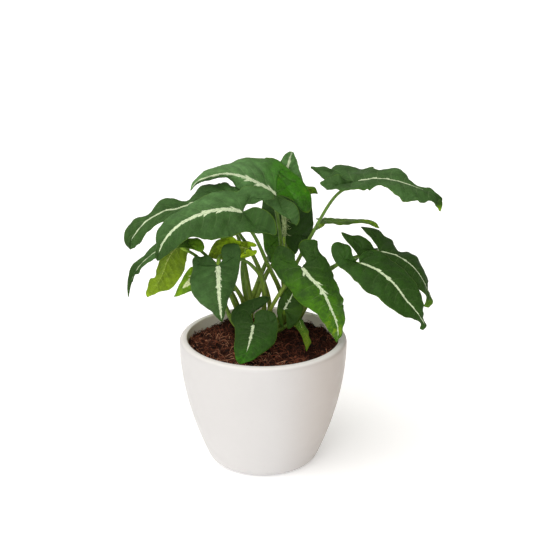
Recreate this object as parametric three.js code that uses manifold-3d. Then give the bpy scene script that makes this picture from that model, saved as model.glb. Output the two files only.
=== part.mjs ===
// A potted arrowhead plant: a turned ceramic pot, the soil in it, five leafy shoots and their leaf blades.
// Millimetres, +Z up. The origin is the middle of the pot's flat foot, and -Y is the front.
import * as THREE from 'three';
import { mergeVertices } from 'three/addons/utils/BufferGeometryUtils.js';
import Module from 'manifold-3d';

const wasm = await Module();
wasm.setup();

// Pot: rim diameter, height, the rolled rim's half thickness, where the wall starts above the foot and how
// it swells, the thickness of wall and floor, and the round corner inside
const POT_DIAMETER = 150;
const POT_HEIGHT = 118;
const RIM_HALF = 4.7;
const FOOT_RADIUS = 50.4;
const FOOT_RISE = 7.3;
const WALL_SWELL = 1.9;
const WALL = 6;
const FLOOR = 8;
const CORNER = 7;
const WALL_LEVELS = [20, 36, 54, 74, 94];
const INSIDE_LEVELS = [104, 80, 56, 30];
const RIM_STEP = 30;
const POT_SIDES = 44;

// Soil: how far its edge lies under the rim, how it is heaped, and the crumbs on top
const SOIL_DROP = 13;
const SOIL_HEAP = 4;
const SOIL_CRUMB = 0.9;
const SOIL_WAVES = { x: 0.31, y: 0.27, across: [0.53, 0.47], start: [1.3, 0.4], weight: 0.6 };
const SOIL_SIDES = 32;
const SOIL_RINGS = [0.92, 0.8, 0.66, 0.5, 0.33, 0.16, 0];

// Clearance between pieces that touch in the real plant
const GAP = 0.3;

// Blades and leaf stalks
const BLADE = 0.8;
const VEIN_ARCH = 0.07;
const LOBE_VEINS = 6;
const BLADE_VEINS = 9;
const VEIN_STEPS = 3;
// The heart of a lobe, from which its veins spread: shares of the ways to its tip and to the bend where it
// meets the blade
const HEART = { towardsTip: 0.3, towardsBend: 0.4 };
const STALK_RADIUS = 2;
const STALK_SIDES = 6;
const STALK_STEPS = 9;
const STALK_SEAT = 3.5;
const STEM_RADIUS = 4.6;
const STEM_DEPTH = 22;
const STEM_RISE = 5;
const STEM_SIDES = 12;

// Where a stalk starts inside its stem: this far below the soil, then this far below the stem's end
const STALK_START = 3;
const STALK_LEAVE = 2;

// Corners nearer than this count as one
const SAME_POINT = 0.01;

// The plant is drawn from in front and a little above. A drawn point [x, y, z] has x and z where the eye
// sees it on the upright plane through the pot's axis, and y is how far behind that plane it really lies.
const EYE = new THREE.Vector3(3, -1278, 644);

// Blades in the drawing. Each has its midrib from the joint to the tip and its two margins, from the sinus
// round the lobe and on to the tip, as seen on the upper face. turn counts the margin points that the
// lobe's veins reach.
const DRAWN_LEAVES = {
  top_left: {
    turn: [7, 9],
    rib: [[11.5, -4, 250], [-1, -8, 259], [-17, -12, 266.5], [-32, -15, 269], [-47.5, -18, 266],
      [-58, -20, 261], [-63, -19, 253.5]],
    left: [[19, -8, 246], [27, -12, 241.5], [31.5, -16, 233], [31.5, -18, 226], [28.5, -19, 221.5],
      [24, -17, 227], [15.5, -15, 232], [9, -14, 237], [0, -13, 244], [-9.5, -12, 250.5],
      [-17.5, -12, 253.5], [-23.5, -11, 256], [-27.5, -9, 262], [-32, -8, 265.5], [-44, -8, 265],
      [-54.5, -12, 260.5], [-61, -17, 255.5]],
    right: [[18.5, 0, 248.5], [26, 4, 244.5], [33, 2, 236], [38.5, 0, 233], [42.5, 4, 237],
      [42, 10, 246], [36.5, 15, 257.5], [28.5, 20, 268], [20, 24, 275], [8.5, 28, 282.5],
      [-13, 26, 283], [-29, 18, 280], [-46.5, 4, 272.5], [-56, -8, 265.5], [-62, -16, 259]],
  },
  front_left: {
    turn: [9, 11],
    rib: [[-18, -46, 234], [-29.5, -50, 236.5], [-42, -54, 236], [-56.5, -58, 231.5],
      [-71.5, -62, 223.5], [-83, -64, 213], [-90.5, -64, 200], [-93, -62, 190]],
    left: [[-14, -50, 236.5], [-8, -53, 238.5], [-1.5, -56, 238], [4.5, -58, 234.5],
      [9, -60, 228.5], [11, -61, 221], [10.5, -61, 213.5], [2, -62, 215], [-5, -62.5, 214],
      [-15, -64, 215.5], [-23.5, -65, 213.5], [-30, -66, 211], [-48, -69, 208.5],
      [-60.5, -71, 211], [-67.5, -72, 208.5], [-74.5, -71, 202.5], [-82.5, -68, 196],
      [-90.5, -64, 190]],
    right: [[-16.5, -42, 237.5], [-14.5, -39, 240.5], [-11, -36, 242], [-6, -33, 243],
      [-2.5, -31, 244.5], [3.5, -29, 245.5], [10, -27, 247], [7, -24, 251.5], [-1, -23, 255.5],
      [-8.5, -22, 257], [-17.5, -22, 257.5], [-23.5, -22, 254], [-33.5, -25, 253.5],
      [-47.5, -31, 248.5], [-64.5, -39, 241], [-83, -48, 232], [-91.5, -55, 221],
      [-94.5, -60, 210], [-94.5, -62, 199]],
  },
  left: {
    turn: [4, 5],
    rib: [[-21.5, -20, 245], [-37.5, -22, 245.5], [-52, -24, 244.5], [-65, -27, 240.5],
      [-75, -30, 237], [-84.5, -33, 235.5], [-95.5, -37, 230], [-103, -40, 225],
      [-110, -42, 216.5], [-115.5, -43, 208.5], [-116.5, -42, 200]],
    left: [[-19, -25, 241.5], [-18.5, -30, 237], [-20.5, -34, 233], [-26.5, -36, 232.5],
      [-35.5, -37, 234.5], [-48.5, -38, 235.5], [-63.5, -40, 233], [-76.5, -43, 229.5],
      [-90, -45, 225], [-98, -46, 218], [-103.5, -46, 213.5], [-107, -46, 207], [-112.5, -44, 202.5]],
    right: [[-17.5, -15, 248.5], [-13, -9, 251.5], [-14, -4, 255], [-20, -2, 255.5],
      [-27, -1, 257.5], [-34, -1, 261.5], [-40.5, -4, 259], [-47.5, -5, 260.5], [-54.5, -8, 258],
      [-60, -15, 252.5], [-67, -23, 245], [-74.5, -23, 245.5], [-80, -23.5, 247],
      [-86.5, -25, 246], [-93.5, -28, 240.5], [-100.5, -31, 233], [-110.5, -33.5, 230],
      [-117.5, -37, 224], [-120.5, -40.5, 216.5], [-121, -42, 209.5], [-119.5, -42, 203.5]],
  },
  low_left: {
    turn: [6, 3],
    rib: [[-66.5, -41, 210], [-77, -46, 207], [-90.5, -51, 200.5], [-101, -54, 192.5],
      [-109, -56, 184.5], [-115, -57, 174.5], [-118.5, -57, 164.5], [-119.5, -55, 155]],
    left: [[-60.5, -42, 210], [-55, -44, 209], [-52, -46, 204.5], [-52, -48, 199.5],
      [-55.5, -49, 197.5], [-64, -50, 200], [-74, -51, 201.5], [-83.5, -53, 197.5],
      [-90.5, -55, 191], [-96, -56, 191], [-98.5, -57, 188.5], [-103.5, -57, 185.5],
      [-108.5, -58, 180.5], [-110, -58, 177], [-113.5, -58, 176], [-115.5, -58, 172],
      [-116.5, -57, 166], [-118.5, -57, 160.5]],
    right: [[-62, -36, 215.5], [-58.5, -32, 220.5], [-62, -30, 222.5], [-70, -33, 221],
      [-79.5, -40, 215], [-90.5, -45, 207.5], [-95.5, -48, 203], [-103.5, -52, 196],
      [-109.5, -54, 191], [-114.5, -55, 186.5], [-117.5, -56, 181], [-119.5, -56, 174.5],
      [-121, -56, 164.5]],
  },
  pale_left: {
    turn: [2, 3],
    rib: [[-71, -34, 204.5], [-79, -38, 198], [-84.5, -40, 189], [-88.5, -41, 178.5],
      [-94, -42, 167], [-103, -40, 155]],
    left: [[-76.5, -31, 207.5], [-83.5, -29, 205.5], [-89.5, -31, 199], [-92, -34, 188.5],
      [-94.5, -36, 180.5], [-96, -37, 174.5], [-100, -37, 172.5], [-102.5, -38, 164],
      [-104, -39, 158.5]],
    right: [[-66.5, -26, 208.5], [-63, -23, 208.5], [-64, -24, 202], [-66.5, -28, 195.5],
      [-68, -33, 188], [-70, -34, 179.5], [-75.5, -36, 170], [-82.5, -38, 162.5],
      [-91.5, -40, 160], [-98.5, -40, 157]],
  },
  small_left: {
    turn: [3, 3],
    rib: [[-45, -24, 182], [-55.5, -27, 176.5], [-65.5, -30, 168.5], [-73, -32, 162],
      [-79.5, -32, 155]],
    left: [[-42.5, -26, 177.5], [-40.5, -28, 172], [-45, -30, 166], [-53, -32, 162.5],
      [-63, -33, 161], [-71, -33, 157.5], [-75.5, -33, 155.5]],
    right: [[-41.5, -22, 183], [-40.5, -21, 186], [-47.5, -20, 186.5], [-55.5, -21, 186],
      [-61.5, -23, 184.5], [-67, -25, 179.5], [-72, -28, 171], [-76, -30, 163.5]],
  },
  front_middle_left: {
    turn: [8, 7],
    rib: [[-39.5, -40, 184.5], [-39.5, -44, 171], [-39, -47, 155.5], [-38, -48, 142.5],
      [-37, -46, 131.5]],
    left: [[-37.5, -38.5, 187], [-35.5, -37, 190.5], [-36.5, -35.5, 195.5], [-36.5, -34.5, 200.5],
      [-33.5, -33.5, 204.5], [-27.5, -33, 205.5], [-22, -33, 204.5], [-20, -33.5, 200.5],
      [-20.5, -35, 188], [-22, -38, 175.5], [-24.5, -41, 165.5], [-28.5, -43, 157.5],
      [-33, -45, 147], [-35, -46, 137.5]],
    right: [[-42, -38.5, 187], [-43, -37, 189.5], [-45.5, -35.5, 192.5], [-49, -34, 193.5],
      [-54.5, -31.5, 192.5], [-59.5, -30, 193.5], [-62.5, -30, 190], [-63, -32, 181.5],
      [-64.5, -35, 172], [-63.5, -38, 161.5], [-58.5, -41, 151.5], [-51.5, -44, 144.5],
      [-44.5, -45.5, 138.5], [-40, -46, 134]],
  },
  behind_left: {
    turn: [7, 5],
    rib: [[-13.5, -5, 200.5], [-22, -8, 202], [-31.5, -10.5, 203.5], [-41, -12, 200],
      [-48.5, -12, 193.5]],
    left: [[-11, -2.5, 202], [-7.5, -1, 202], [-5.5, -0.5, 203.5], [-8, -1, 206], [-13.5, -2, 207],
      [-19, -3, 206], [-23, -4.5, 207], [-25.5, -5.5, 211], [-32.5, -6.5, 210], [-40, -8, 208.5],
      [-45, -10, 202]],
    right: [[-10, -4, 199], [-5.5, -3.5, 199], [-6, -4.5, 195.5], [-11, -6.5, 193.5],
      [-17, -10, 192], [-24, -13, 190.5], [-32.5, -14.5, 190], [-41.5, -14, 190.5]],
  },
  front_low: {
    turn: [7, 11],
    rib: [[-8.5, -28, 129], [-10.5, -34, 119.5], [-13, -41, 108.5], [-16.5, -47, 98], [-21, -50, 90]],
    left: [[-8, -27, 133.5], [-8, -25, 138], [-5.5, -23.5, 141.5], [-1, -22.5, 143.5], [5, -22, 142],
      [10, -23, 139.5], [12.5, -25.5, 134], [13.5, -28, 127.5], [13, -31.5, 120], [10.5, -36.5, 111],
      [4, -42, 104], [-3, -46, 99], [-9.5, -50, 93.5], [-15.5, -51, 91.5]],
    right: [[-10, -26, 133.5], [-11.5, -22, 138], [-7.5, -18, 142.5], [-2, -15, 146], [3, -13, 149.5],
      [6.5, -10.5, 154.5], [1.5, -9, 156], [-7.5, -10, 153.5], [-16.5, -12, 150.5], [-24.5, -15, 146],
      [-28.5, -19, 140], [-29, -23, 133.5], [-26, -28, 126], [-25.5, -35, 115.5], [-26, -42, 104],
      [-24, -48, 94]],
  },
  front_right: {
    turn: [12, 9],
    rib: [[34.5, -24, 183], [41.5, -28, 173.5], [49.5, -30, 165], [55, -31, 156.5],
      [59.5, -31, 146], [64.5, -29, 133.5], [67, -27, 122], [66, -26, 111]],
    left: [[36.5, -23, 186], [38, -21, 189], [35.5, -19, 192.5], [32.5, -17, 195.5],
      [31.5, -16, 200.5], [32.5, -14.5, 205.5], [36.5, -13.5, 208.5], [42.5, -13, 209],
      [46.5, -13, 207.5], [48, -14, 202], [51.5, -15, 195.5], [56, -16, 191.5], [58, -17, 186.5],
      [60.5, -18, 179.5], [64, -19.5, 171], [68, -20.5, 159.5], [72, -21.5, 149],
      [73.5, -22, 141.5], [73, -22.5, 134.5], [71, -23, 128.5], [71, -24, 120]],
    right: [[31, -24, 185], [29, -24, 189], [28, -23, 193], [27.5, -22, 196.5], [24, -22, 200],
      [18.5, -21, 202.5], [13, -20, 203.5], [9.5, -20, 198.5], [6.5, -21, 190], [7, -22, 184.5],
      [11, -25, 177], [16.5, -28, 169.5], [22, -30, 164], [26.5, -33, 156], [33.5, -35, 148.5],
      [41.5, -36, 143.5], [48, -36, 138.5], [54, -34, 130.5], [61, -31, 119.5]],
  },
  low_right: {
    turn: [5, 4],
    rib: [[18.5, -7, 143], [23, -6, 151], [26.5, -3.5, 158.5], [32, -0.5, 167]],
    left: [[16.5, -8, 139.5], [17, -9, 133], [18.5, -9.5, 125.5], [15.5, -9, 128],
      [13, -8.5, 135.5], [12.5, -7.5, 144.5], [14, -6, 152], [17, -4, 158], [22, -2, 164.5],
      [27, -0.5, 168]],
    right: [[20, -8, 139], [20.5, -9, 132.5], [22.5, -9.5, 124], [27.5, -9, 127.5], [32, -8, 134],
      [35, -6.5, 141.5], [36, -4.5, 149.5], [35.5, -2, 159.5]],
  },
  small_right: {
    turn: [1, 1],
    rib: [[31.5, -2, 136], [33.5, -8, 129], [36.5, -14, 120], [38.5, -19, 110.5], [39, -21, 102.5]],
    left: [[35.5, -1, 134], [37.5, -5, 129.5], [40, -10, 124], [41, -15, 117.5], [43, -18, 111.5],
      [40.5, -21, 106]],
    right: [[29, -1.5, 133.5], [27.5, -4.5, 130], [29.5, -8.5, 125.5], [32.5, -12.5, 121.5],
      [35, -16, 117], [37, -20, 109.5]],
  },
  upright_back: {
    turn: [5, 5],
    rib: [[17.5, 34, 212], [19, 35, 231.5], [19.5, 33, 254], [21, 31, 274], [23.5, 27, 284.5],
      [24.5, 24, 289.5]],
    left: [[16, 34, 205.5], [14, 32, 197], [10.5, 31, 189.5], [6, 32, 187], [3, 36, 193.5],
      [0.5, 41, 208.5], [-1.5, 43, 226.5], [-1, 42, 242.5], [3.5, 37, 258.5], [9.5, 34, 272],
      [14.5, 31, 280], [18, 28, 285.5], [22, 25, 289]],
    right: [[20, 34, 205.5], [24, 33, 198], [28, 34, 195], [32.5, 38, 202], [37, 42, 209],
      [42.5, 45, 217.5], [44, 46, 226.5], [42.5, 45, 238.5], [40, 42, 250.5], [35, 37, 262],
      [31.5, 34, 273], [28.5, 29, 282.5], [26.5, 26, 287.5]],
  },
  tip_back: {
    turn: [2, 2],
    rib: [[17.5, 52, 248.5], [29.5, 54, 253.5], [40, 54, 254], [47.5, 54, 251]],
    left: [[15.5, 56, 254], [18, 60, 260.5], [25, 62, 262], [33, 60, 260], [39, 57, 257.5],
      [45, 55.5, 256.5]],
    right: [[15.5, 50, 244], [20, 49, 239.5], [28, 50, 242.5], [35, 52, 247], [40.5, 53, 250],
      [44, 54, 251]],
  },
  edge_right: {
    turn: [3, 3],
    rib: [[51.5, 44, 225.5], [71, 48, 225.5], [86.5, 50, 225], [95.5, 51, 223], [101.5, 51, 219]],
    left: [[49, 48, 226], [46, 56, 227], [48, 64, 227.5], [55, 71, 227.5], [71, 76, 226.5],
      [84.5, 72, 226], [94.5, 64, 226], [99, 57, 223.5]],
    right: [[49, 38, 224.5], [46, 30, 224], [49, 23, 223.5], [59.5, 20, 224], [66.5, 24, 222.5],
      [78.5, 31, 223.5], [90.5, 41, 223], [97, 47, 220.5]],
  },
  top_right: {
    turn: [9, 8],
    rib: [[78.5, -6, 261.5], [89, -8, 263.5], [99.5, -10, 264.5], [115, -13, 262.5],
      [128, -16, 258.5], [140.5, -18, 253.5], [150.5, -20, 247.5], [155.5, -21, 241.5],
      [154.5, -22, 234.5]],
    left: [[71, -1, 261.5], [62.5, 3, 261.5], [53.5, 8, 262.5], [49, 13, 266.5], [44, 17, 271.5],
      [40.5, 18.5, 274], [41.5, 19.5, 276.5], [47.5, 22, 274.5], [55.5, 25, 273.5],
      [62.5, 27, 275.5], [69.5, 27, 274], [76.5, 27, 274.5], [83, 23, 272.5], [91.5, 21, 272],
      [98.5, 16, 272], [106, 15, 273.5], [112.5, 13, 275], [118.5, 7, 270.5], [128, -5, 260.5],
      [133, -9, 257], [143.5, -13, 252.5], [151, -15.5, 250.5], [156.5, -18, 248],
      [157.5, -19.5, 245], [156, -21, 239]],
    right: [[72.5, -9.5, 264], [64, -11, 266], [56, -12, 266], [50, -12, 264], [48, -13, 261],
      [50, -15, 258], [55.5, -19, 255], [62, -24, 254.5], [68.5, -28, 252.5], [78.5, -30, 252.5],
      [82.5, -30, 254], [87, -29.5, 254], [91.5, -28, 256.5], [98, -28, 258], [105, -29.5, 256.5],
      [111, -31, 254.5], [117, -33, 249.5], [125, -34, 245.5], [132.5, -33, 244.5],
      [140, -30.5, 245], [145, -28, 245.5], [149, -25.5, 243], [152, -23.5, 238.5]],
  },
  right: {
    turn: [4, 8],
    rib: [[85, -30, 187], [93.5, -36, 184], [101.5, -41, 180], [112.5, -46, 171],
      [120, -49, 162.5], [126.5, -51, 153], [134.5, -52, 143.5], [140.5, -52, 135.5],
      [144.5, -50, 127.5], [143, -49, 123]],
    left: [[84.5, -27, 191.5], [86.5, -24, 195], [89, -21, 198], [94, -19, 200], [100, -19, 199],
      [108.5, -22, 194], [116.5, -26, 188], [127, -32, 179.5], [134, -38, 170], [138, -42, 162.5],
      [141, -44.5, 155.5], [142, -46.5, 148], [142.5, -48, 140.5], [144.5, -49, 133.5],
      [146.5, -49.5, 127]],
    right: [[82.5, -31, 188.5], [80.5, -31, 191], [75.5, -26, 204], [71, -25, 206],
      [64.5, -25, 207], [61, -26, 204.5], [60, -28, 199], [62, -33, 190], [67, -38, 183.5],
      [76, -44, 176.5], [83.5, -50, 168], [91, -54, 160], [102, -57, 155], [108.5, -59, 147.5],
      [117.5, -60, 141.5], [125, -60, 136.5], [130.5, -58, 135], [137.5, -55, 132],
      [141.5, -52, 128.5], [140, -50, 124.5]],
  },
  right_back: {
    turn: [7, 9],
    rib: [[103, -8, 198], [112, -12, 196], [119, -15, 193.5], [131.5, -20, 184.5],
      [140, -24, 173.5], [145.5, -27, 162.5], [149.5, -28, 152], [147, -27, 145.5]],
    left: [[100.5, -5, 202], [98.5, -2, 205.5], [93.5, 2, 212], [88.5, 6, 217], [85.5, 9, 221.5],
      [93.5, 13, 220.5], [101.5, 14, 217.5], [106, 12, 213], [114, 10, 208.5], [116.5, 6, 202.5],
      [118.5, 3, 198.5], [127.5, 1, 196.5], [134, -2, 193], [137.5, -7, 187], [142.5, -12, 179],
      [146, -17, 170.5], [146, -21, 162.5], [147.5, -24, 156.5], [150.5, -26, 150]],
    right: [[99, -10, 199.5], [96.5, -9, 203.5], [92, -8, 209], [85, -7, 213], [79, -7, 213],
      [68, -8, 215.5], [72, -12, 209], [77, -16, 203], [81.5, -18, 197], [87, -20, 189.5],
      [99, -26, 182], [112.5, -31, 173.5], [124, -34, 167.5], [133, -35, 163.5], [140, -34, 160.5],
      [144.5, -32, 155.5], [145, -30.5, 151], [143, -29, 146.5]],
  },
};

// Leaves at the back, seen only from there: the place of the joint, the compass heading in degrees, the
// slope at the joint and at the tip, the length of the midrib, the half width, and how far each half folds
// down and rolls
const BACK_LEAVES = {
  back_left: {
    joint: [-31, 50, 217], heading: 128, slope: [18, -50],
    length: 64, half: 24, fold: 24, roll: 0,
  },
  back_low_left: {
    joint: [-44, 50, 152], heading: 122, slope: [5, -60],
    length: 44, half: 17, fold: 20, roll: 10,
  },
  back_middle: {
    joint: [24, 78, 192], heading: 84, slope: [0, -62],
    length: 56, half: 21, fold: 18, roll: 0,
  },
  back_right: {
    joint: [44, 60, 156], heading: 78, slope: [0, -60],
    length: 46, half: 16, fold: 22, roll: -6,
  },
  right_far_back: {
    joint: [98, 42, 182], heading: 34, slope: [12, -55],
    length: 52, half: 20, fold: 20, roll: 0,
  },
};

// One half of a flat arrowhead blade: shares of the midrib's length from the joint, and of the half width
const ARROWHEAD = [
  [-0.06, 0.1], [-0.2, 0.2], [-0.36, 0.36], [-0.43, 0.6], [-0.36, 0.84], [-0.17, 0.98],
  [0.05, 1], [0.26, 0.93], [0.46, 0.78], [0.64, 0.57], [0.8, 0.33], [0.92, 0.12],
];
const ARROWHEAD_TURN = 6;

// Shoots: where each stem stands in the soil, and the drawn points that each leaf stalk passes on its way
// up
const SHOOTS = {
  shoot_left: {
    foot: [-14, 6],
    stalks: {
      small_left: [[-20.5, 2, 134.5], [-29.5, -9, 157.5], [-37.5, -15, 172]],
      low_left: [[-18, 2, 150.5], [-25.5, -9, 165], [-36, -17, 180], [-49.5, -23, 193.5],
        [-59, -32, 202]],
      pale_left: [[-22.5, 6, 146.5], [-28.5, 1, 160], [-40, -9, 175.5], [-52, -19, 187],
        [-60, -26, 194.5]],
      behind_left: [[-14.5, 8, 149], [-17, 3, 164.5], [-18.5, -1, 180.5]],
      back_left: [[-10.5, 12, 149], [-13, 14, 164.5], [-16, 20, 184], [-19.5, 30, 202], [-22, 38, 212]],
      back_middle: [[-10.5, 14, 152], [-6, 24, 164.5], [-1, 36, 178.5], [7, 54, 196], [18.5, 70, 211]],
      edge_right: [[-10, 6, 140.5], [-5, 15, 155.5], [0, 27, 169.5], [5.5, 42, 181.5], [19.5, 60, 198],
        [36, 58, 212]],
      back_low_left: [[-27.5, 22, 132], [-34.5, 34, 149]],
    },
  },
  shoot_middle: {
    foot: [-1, 2],
    stalks: {
      front_low: [[-6.5, -3, 122], [-7, -15, 129.5]],
      front_middle_left: [[1, 2, 152], [0, -2, 167], [-3.5, -7, 177], [-8, -12, 182.5],
        [-12.5, -16, 187], [-18.5, -20, 190], [-28, -26, 193], [-34.5, -29, 195], [-38.5, -33, 192.5]],
      top_right: [[4.5, -5, 138.5], [13.5, -9, 156], [19.5, -9, 166], [41, -3, 210], [64, -2, 250]],
    },
  },
  shoot_right: {
    foot: [8, 20],
    stalks: {
      left: [[5, 16, 153], [1, 13, 168], [-3.5, 10, 181.5], [-8.5, 8, 193], [-13.5, 6, 203.5],
        [-19, 1, 211.5], [-22, -8, 217.5]],
      low_right: [[14.5, 8, 126]],
      small_right: [[14, 4, 122.5], [19.5, 1, 126.5], [25.5, 1, 131.5]],
      front_right: [[22, 10, 149], [32, 2, 172.5]],
    },
  },
  shoot_back: {
    foot: [18, 47],
    stalks: {
      top_left: [[19.5, 42, 149], [18, 34, 170], [16.5, 25, 188], [15.5, 12, 209], [12, 3, 233]],
      upright_back: [[21, 46, 149], [19.5, 43, 188]],
      tip_back: [[23, 48, 149], [22, 46, 193.5], [19.5, 49, 223.5], [18.5, 51, 239.5]],
      back_right: [[26, 50, 147], [35.5, 52, 166]],
    },
  },
  shoot_far_right: {
    foot: [31, 44],
    stalks: {
      front_left: [[22, 32, 143.5], [16, 20, 158], [13, 13, 166.5], [7, 2, 179.5], [2.5, -8, 189.5],
        [-2, -19, 200.5], [-7.5, -28, 212]],
      right: [[35.5, 34, 147], [45, 18, 167], [58.5, -4, 180], [72, -19, 188]],
      right_back: [[37.5, 38, 149], [48.5, 23, 172], [62, 8, 184], [85.5, -3, 194]],
      right_far_back: [[40, 42, 149], [50.5, 36, 172], [62.5, 29, 183.5], [78.5, 30, 191.5]],
    },
  },
};

// A drawn point carried along the line of sight to its real depth
function drawn([x, y, z]) {
  const along = -y / EYE.y;
  return new THREE.Vector3(x + (x - EYE.x) * along, y, z + (z - EYE.z) * along);
}

const smooth = (points) => new THREE.CatmullRomCurve3(points, false, 'centripetal');

// The share of a curve's length at which its control point number index lies
function lengthShare(curve, index) {
  const spans = curve.points.length - 1;
  const lengths = curve.getLengths(spans * 12);
  return lengths[index * 12] / lengths[lengths.length - 1];
}

// A drawn leaf in real points
function placeDrawn(leaf) {
  const { turn, rib, left, right } = leaf;
  return { turn, rib: rib.map(drawn), left: left.map(drawn), right: right.map(drawn) };
}

// A back leaf in real points: the midrib is an arc in the upright plane of its heading, and each half of
// the arrowhead hangs from it
function placeBack({ joint, heading, slope, length, half, fold, roll }) {
  const turn = THREE.MathUtils.degToRad(heading);
  const ahead = new THREE.Vector3(Math.cos(turn), Math.sin(turn), 0);
  const left = new THREE.Vector3(-Math.sin(turn), Math.cos(turn), 0);
  const up = new THREE.Vector3(0, 0, 1);
  const [start, end] = slope.map(THREE.MathUtils.degToRad);
  const bend = end - start;
  const ribPoint = (share) => {
    const angle = start + bend * share;
    return new THREE.Vector3(...joint)
      .addScaledVector(ahead, length * (Math.sin(angle) - Math.sin(start)) / bend)
      .addScaledVector(up, length * (Math.cos(start) - Math.cos(angle)) / bend);
  };
  const edge = (side) => ARROWHEAD.map(([share, across]) => {
    const angle = start + bend * share;
    const normal = up.clone().multiplyScalar(Math.cos(angle)).addScaledVector(ahead, -Math.sin(angle));
    const hang = THREE.MathUtils.degToRad(fold + side * roll);
    return ribPoint(share)
      .addScaledVector(left, side * half * across * Math.cos(hang))
      .addScaledVector(normal, -half * across * Math.sin(hang));
  });
  return {
    turn: [ARROWHEAD_TURN, ARROWHEAD_TURN],
    rib: [0, 0.25, 0.5, 0.75, 1].map(ribPoint),
    left: edge(1),
    right: edge(-1),
  };
}

// The veins of one half: those of the lobe fan out from its heart, the others leave the midrib one after
// another and sweep to the margin. Each is arched upwards. Row by row from the joint to the tip.
function halfBlade(leaf, side) {
  const rib = smooth(leaf.rib);
  const [joint] = leaf.rib;
  const edge = smooth([joint, ...leaf[side], leaf.rib[leaf.rib.length - 1]]);
  const bend = leaf.turn[side === 'left' ? 0 : 1];
  const turn = lengthShare(edge, bend + 1);
  const lobe = leaf[side].slice(0, bend);
  const tip = lobe.reduce((far, point) => (point.distanceTo(joint) > far.distanceTo(joint) ? point : far));
  const heart = joint.clone()
    .addScaledVector(tip.clone().sub(joint), HEART.towardsTip)
    .addScaledVector(edge.getPointAt(turn).sub(joint), HEART.towardsBend);
  const rows = [];
  for (let i = 0; i < LOBE_VEINS + BLADE_VEINS + 1; i += 1) {
    const onBlade = Math.max(0, i - LOBE_VEINS) / BLADE_VEINS;
    const onEdge = i < LOBE_VEINS ? turn * i / LOBE_VEINS : turn + (1 - turn) * onBlade;
    const from = i > 0 && i < LOBE_VEINS ? heart : rib.getPointAt(onBlade);
    const to = edge.getPointAt(onEdge);
    rows.push(Array.from({ length: VEIN_STEPS + 1 }, (_, j) => from.clone().lerp(to, j / VEIN_STEPS)));
  }
  const up = rows.map((row, i) => {
    const next = rows[Math.min(i + 1, rows.length - 1)];
    const last = rows[Math.max(i - 1, 0)];
    const middle = Math.ceil(VEIN_STEPS / 2);
    const forward = next[middle].clone().sub(last[middle]);
    const outward = row[VEIN_STEPS].clone().sub(row[0]);
    const normal = forward.cross(outward).normalize();
    return side === 'left' ? normal : normal.negate();
  });
  rows.forEach((row, i) => {
    const width = row[VEIN_STEPS].distanceTo(row[0]);
    row.forEach((point, j) => {
      const share = j / VEIN_STEPS;
      point.addScaledVector(up[i], VEIN_ARCH * width * 4 * share * (1 - share));
    });
  });
  return rows;
}

// Index triples of a surface without the ones that have shrunk to a line
function fullTriangles(index) {
  const kept = [];
  for (let i = 0; i < index.length; i += 3) {
    const [a, b, c] = [index[i], index[i + 1], index[i + 2]];
    if (a !== b && b !== c && c !== a) kept.push(a, b, c);
  }
  return kept;
}

function fromPositions(position, index) {
  const geometry = new THREE.BufferGeometry();
  geometry.setAttribute('position', new THREE.Float32BufferAttribute(position, 3));
  if (index) geometry.setIndex(index);
  return geometry;
}

// Both halves as one surface of shared points, facing up, with its normals
function bladeSurface(leaf) {
  const position = [];
  const corner = (p) => position.push(p.x, p.y, p.z);
  for (const side of ['left', 'right']) {
    const rows = halfBlade(leaf, side);
    for (let i = 0; i < rows.length - 1; i += 1) {
      for (let j = 0; j < VEIN_STEPS; j += 1) {
        const [a, b, c, d] = [rows[i][j], rows[i + 1][j], rows[i + 1][j + 1], rows[i][j + 1]];
        const faces = side === 'left' ? [a, b, c, a, c, d] : [a, c, b, a, d, c];
        faces.forEach(corner);
      }
    }
  }
  const merged = mergeVertices(fromPositions(position), SAME_POINT);
  const surface = fromPositions(merged.attributes.position.array, fullTriangles(merged.index.array));
  surface.computeVertexNormals();
  return surface;
}

// The surface's open edges, as pairs of point numbers
function openEdges(index) {
  const edges = new Map();
  for (let i = 0; i < index.length; i += 3) {
    const [a, b, c] = [index[i], index[i + 1], index[i + 2]];
    for (const [from, to] of [[a, b], [b, c], [c, a]]) {
      if (!edges.delete(`${to}/${from}`)) edges.set(`${from}/${to}`, [from, to]);
    }
  }
  return [...edges.values()];
}

// A closed blade: the surface pushed half the thickness up and down, with a wall along the margin. The
// margin can be grown outwards.
function bladeGeometry(surface, thickness, grow = 0) {
  const { position, normal } = surface.attributes;
  const index = surface.index.array;
  const count = position.count;
  const vectors = (from) => {
    return Array.from({ length: count }, (_, i) => new THREE.Vector3().fromBufferAttribute(from, i));
  };
  const points = vectors(position);
  const up = vectors(normal);
  const outward = points.map(() => new THREE.Vector3());
  const edges = openEdges(index);
  for (const [from, to] of edges) {
    const along = points[to].clone().sub(points[from]).normalize();
    for (const end of [from, to]) outward[end].add(along.clone().cross(up[end]));
  }
  const corners = [];
  for (const side of [0.5, -0.5]) {
    points.forEach((point, i) => {
      const corner = point.clone().addScaledVector(up[i], side * thickness);
      corners.push(...corner.addScaledVector(outward[i].normalize(), grow));
    });
  }
  const triangles = [];
  for (let i = 0; i < index.length; i += 3) {
    const [a, b, c] = [index[i], index[i + 1], index[i + 2]];
    triangles.push(a, b, c, count + a, count + c, count + b);
  }
  for (const [from, to] of edges) {
    triangles.push(from, count + from, to, to, count + from, count + to);
  }
  return fromPositions(corners, triangles);
}

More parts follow.
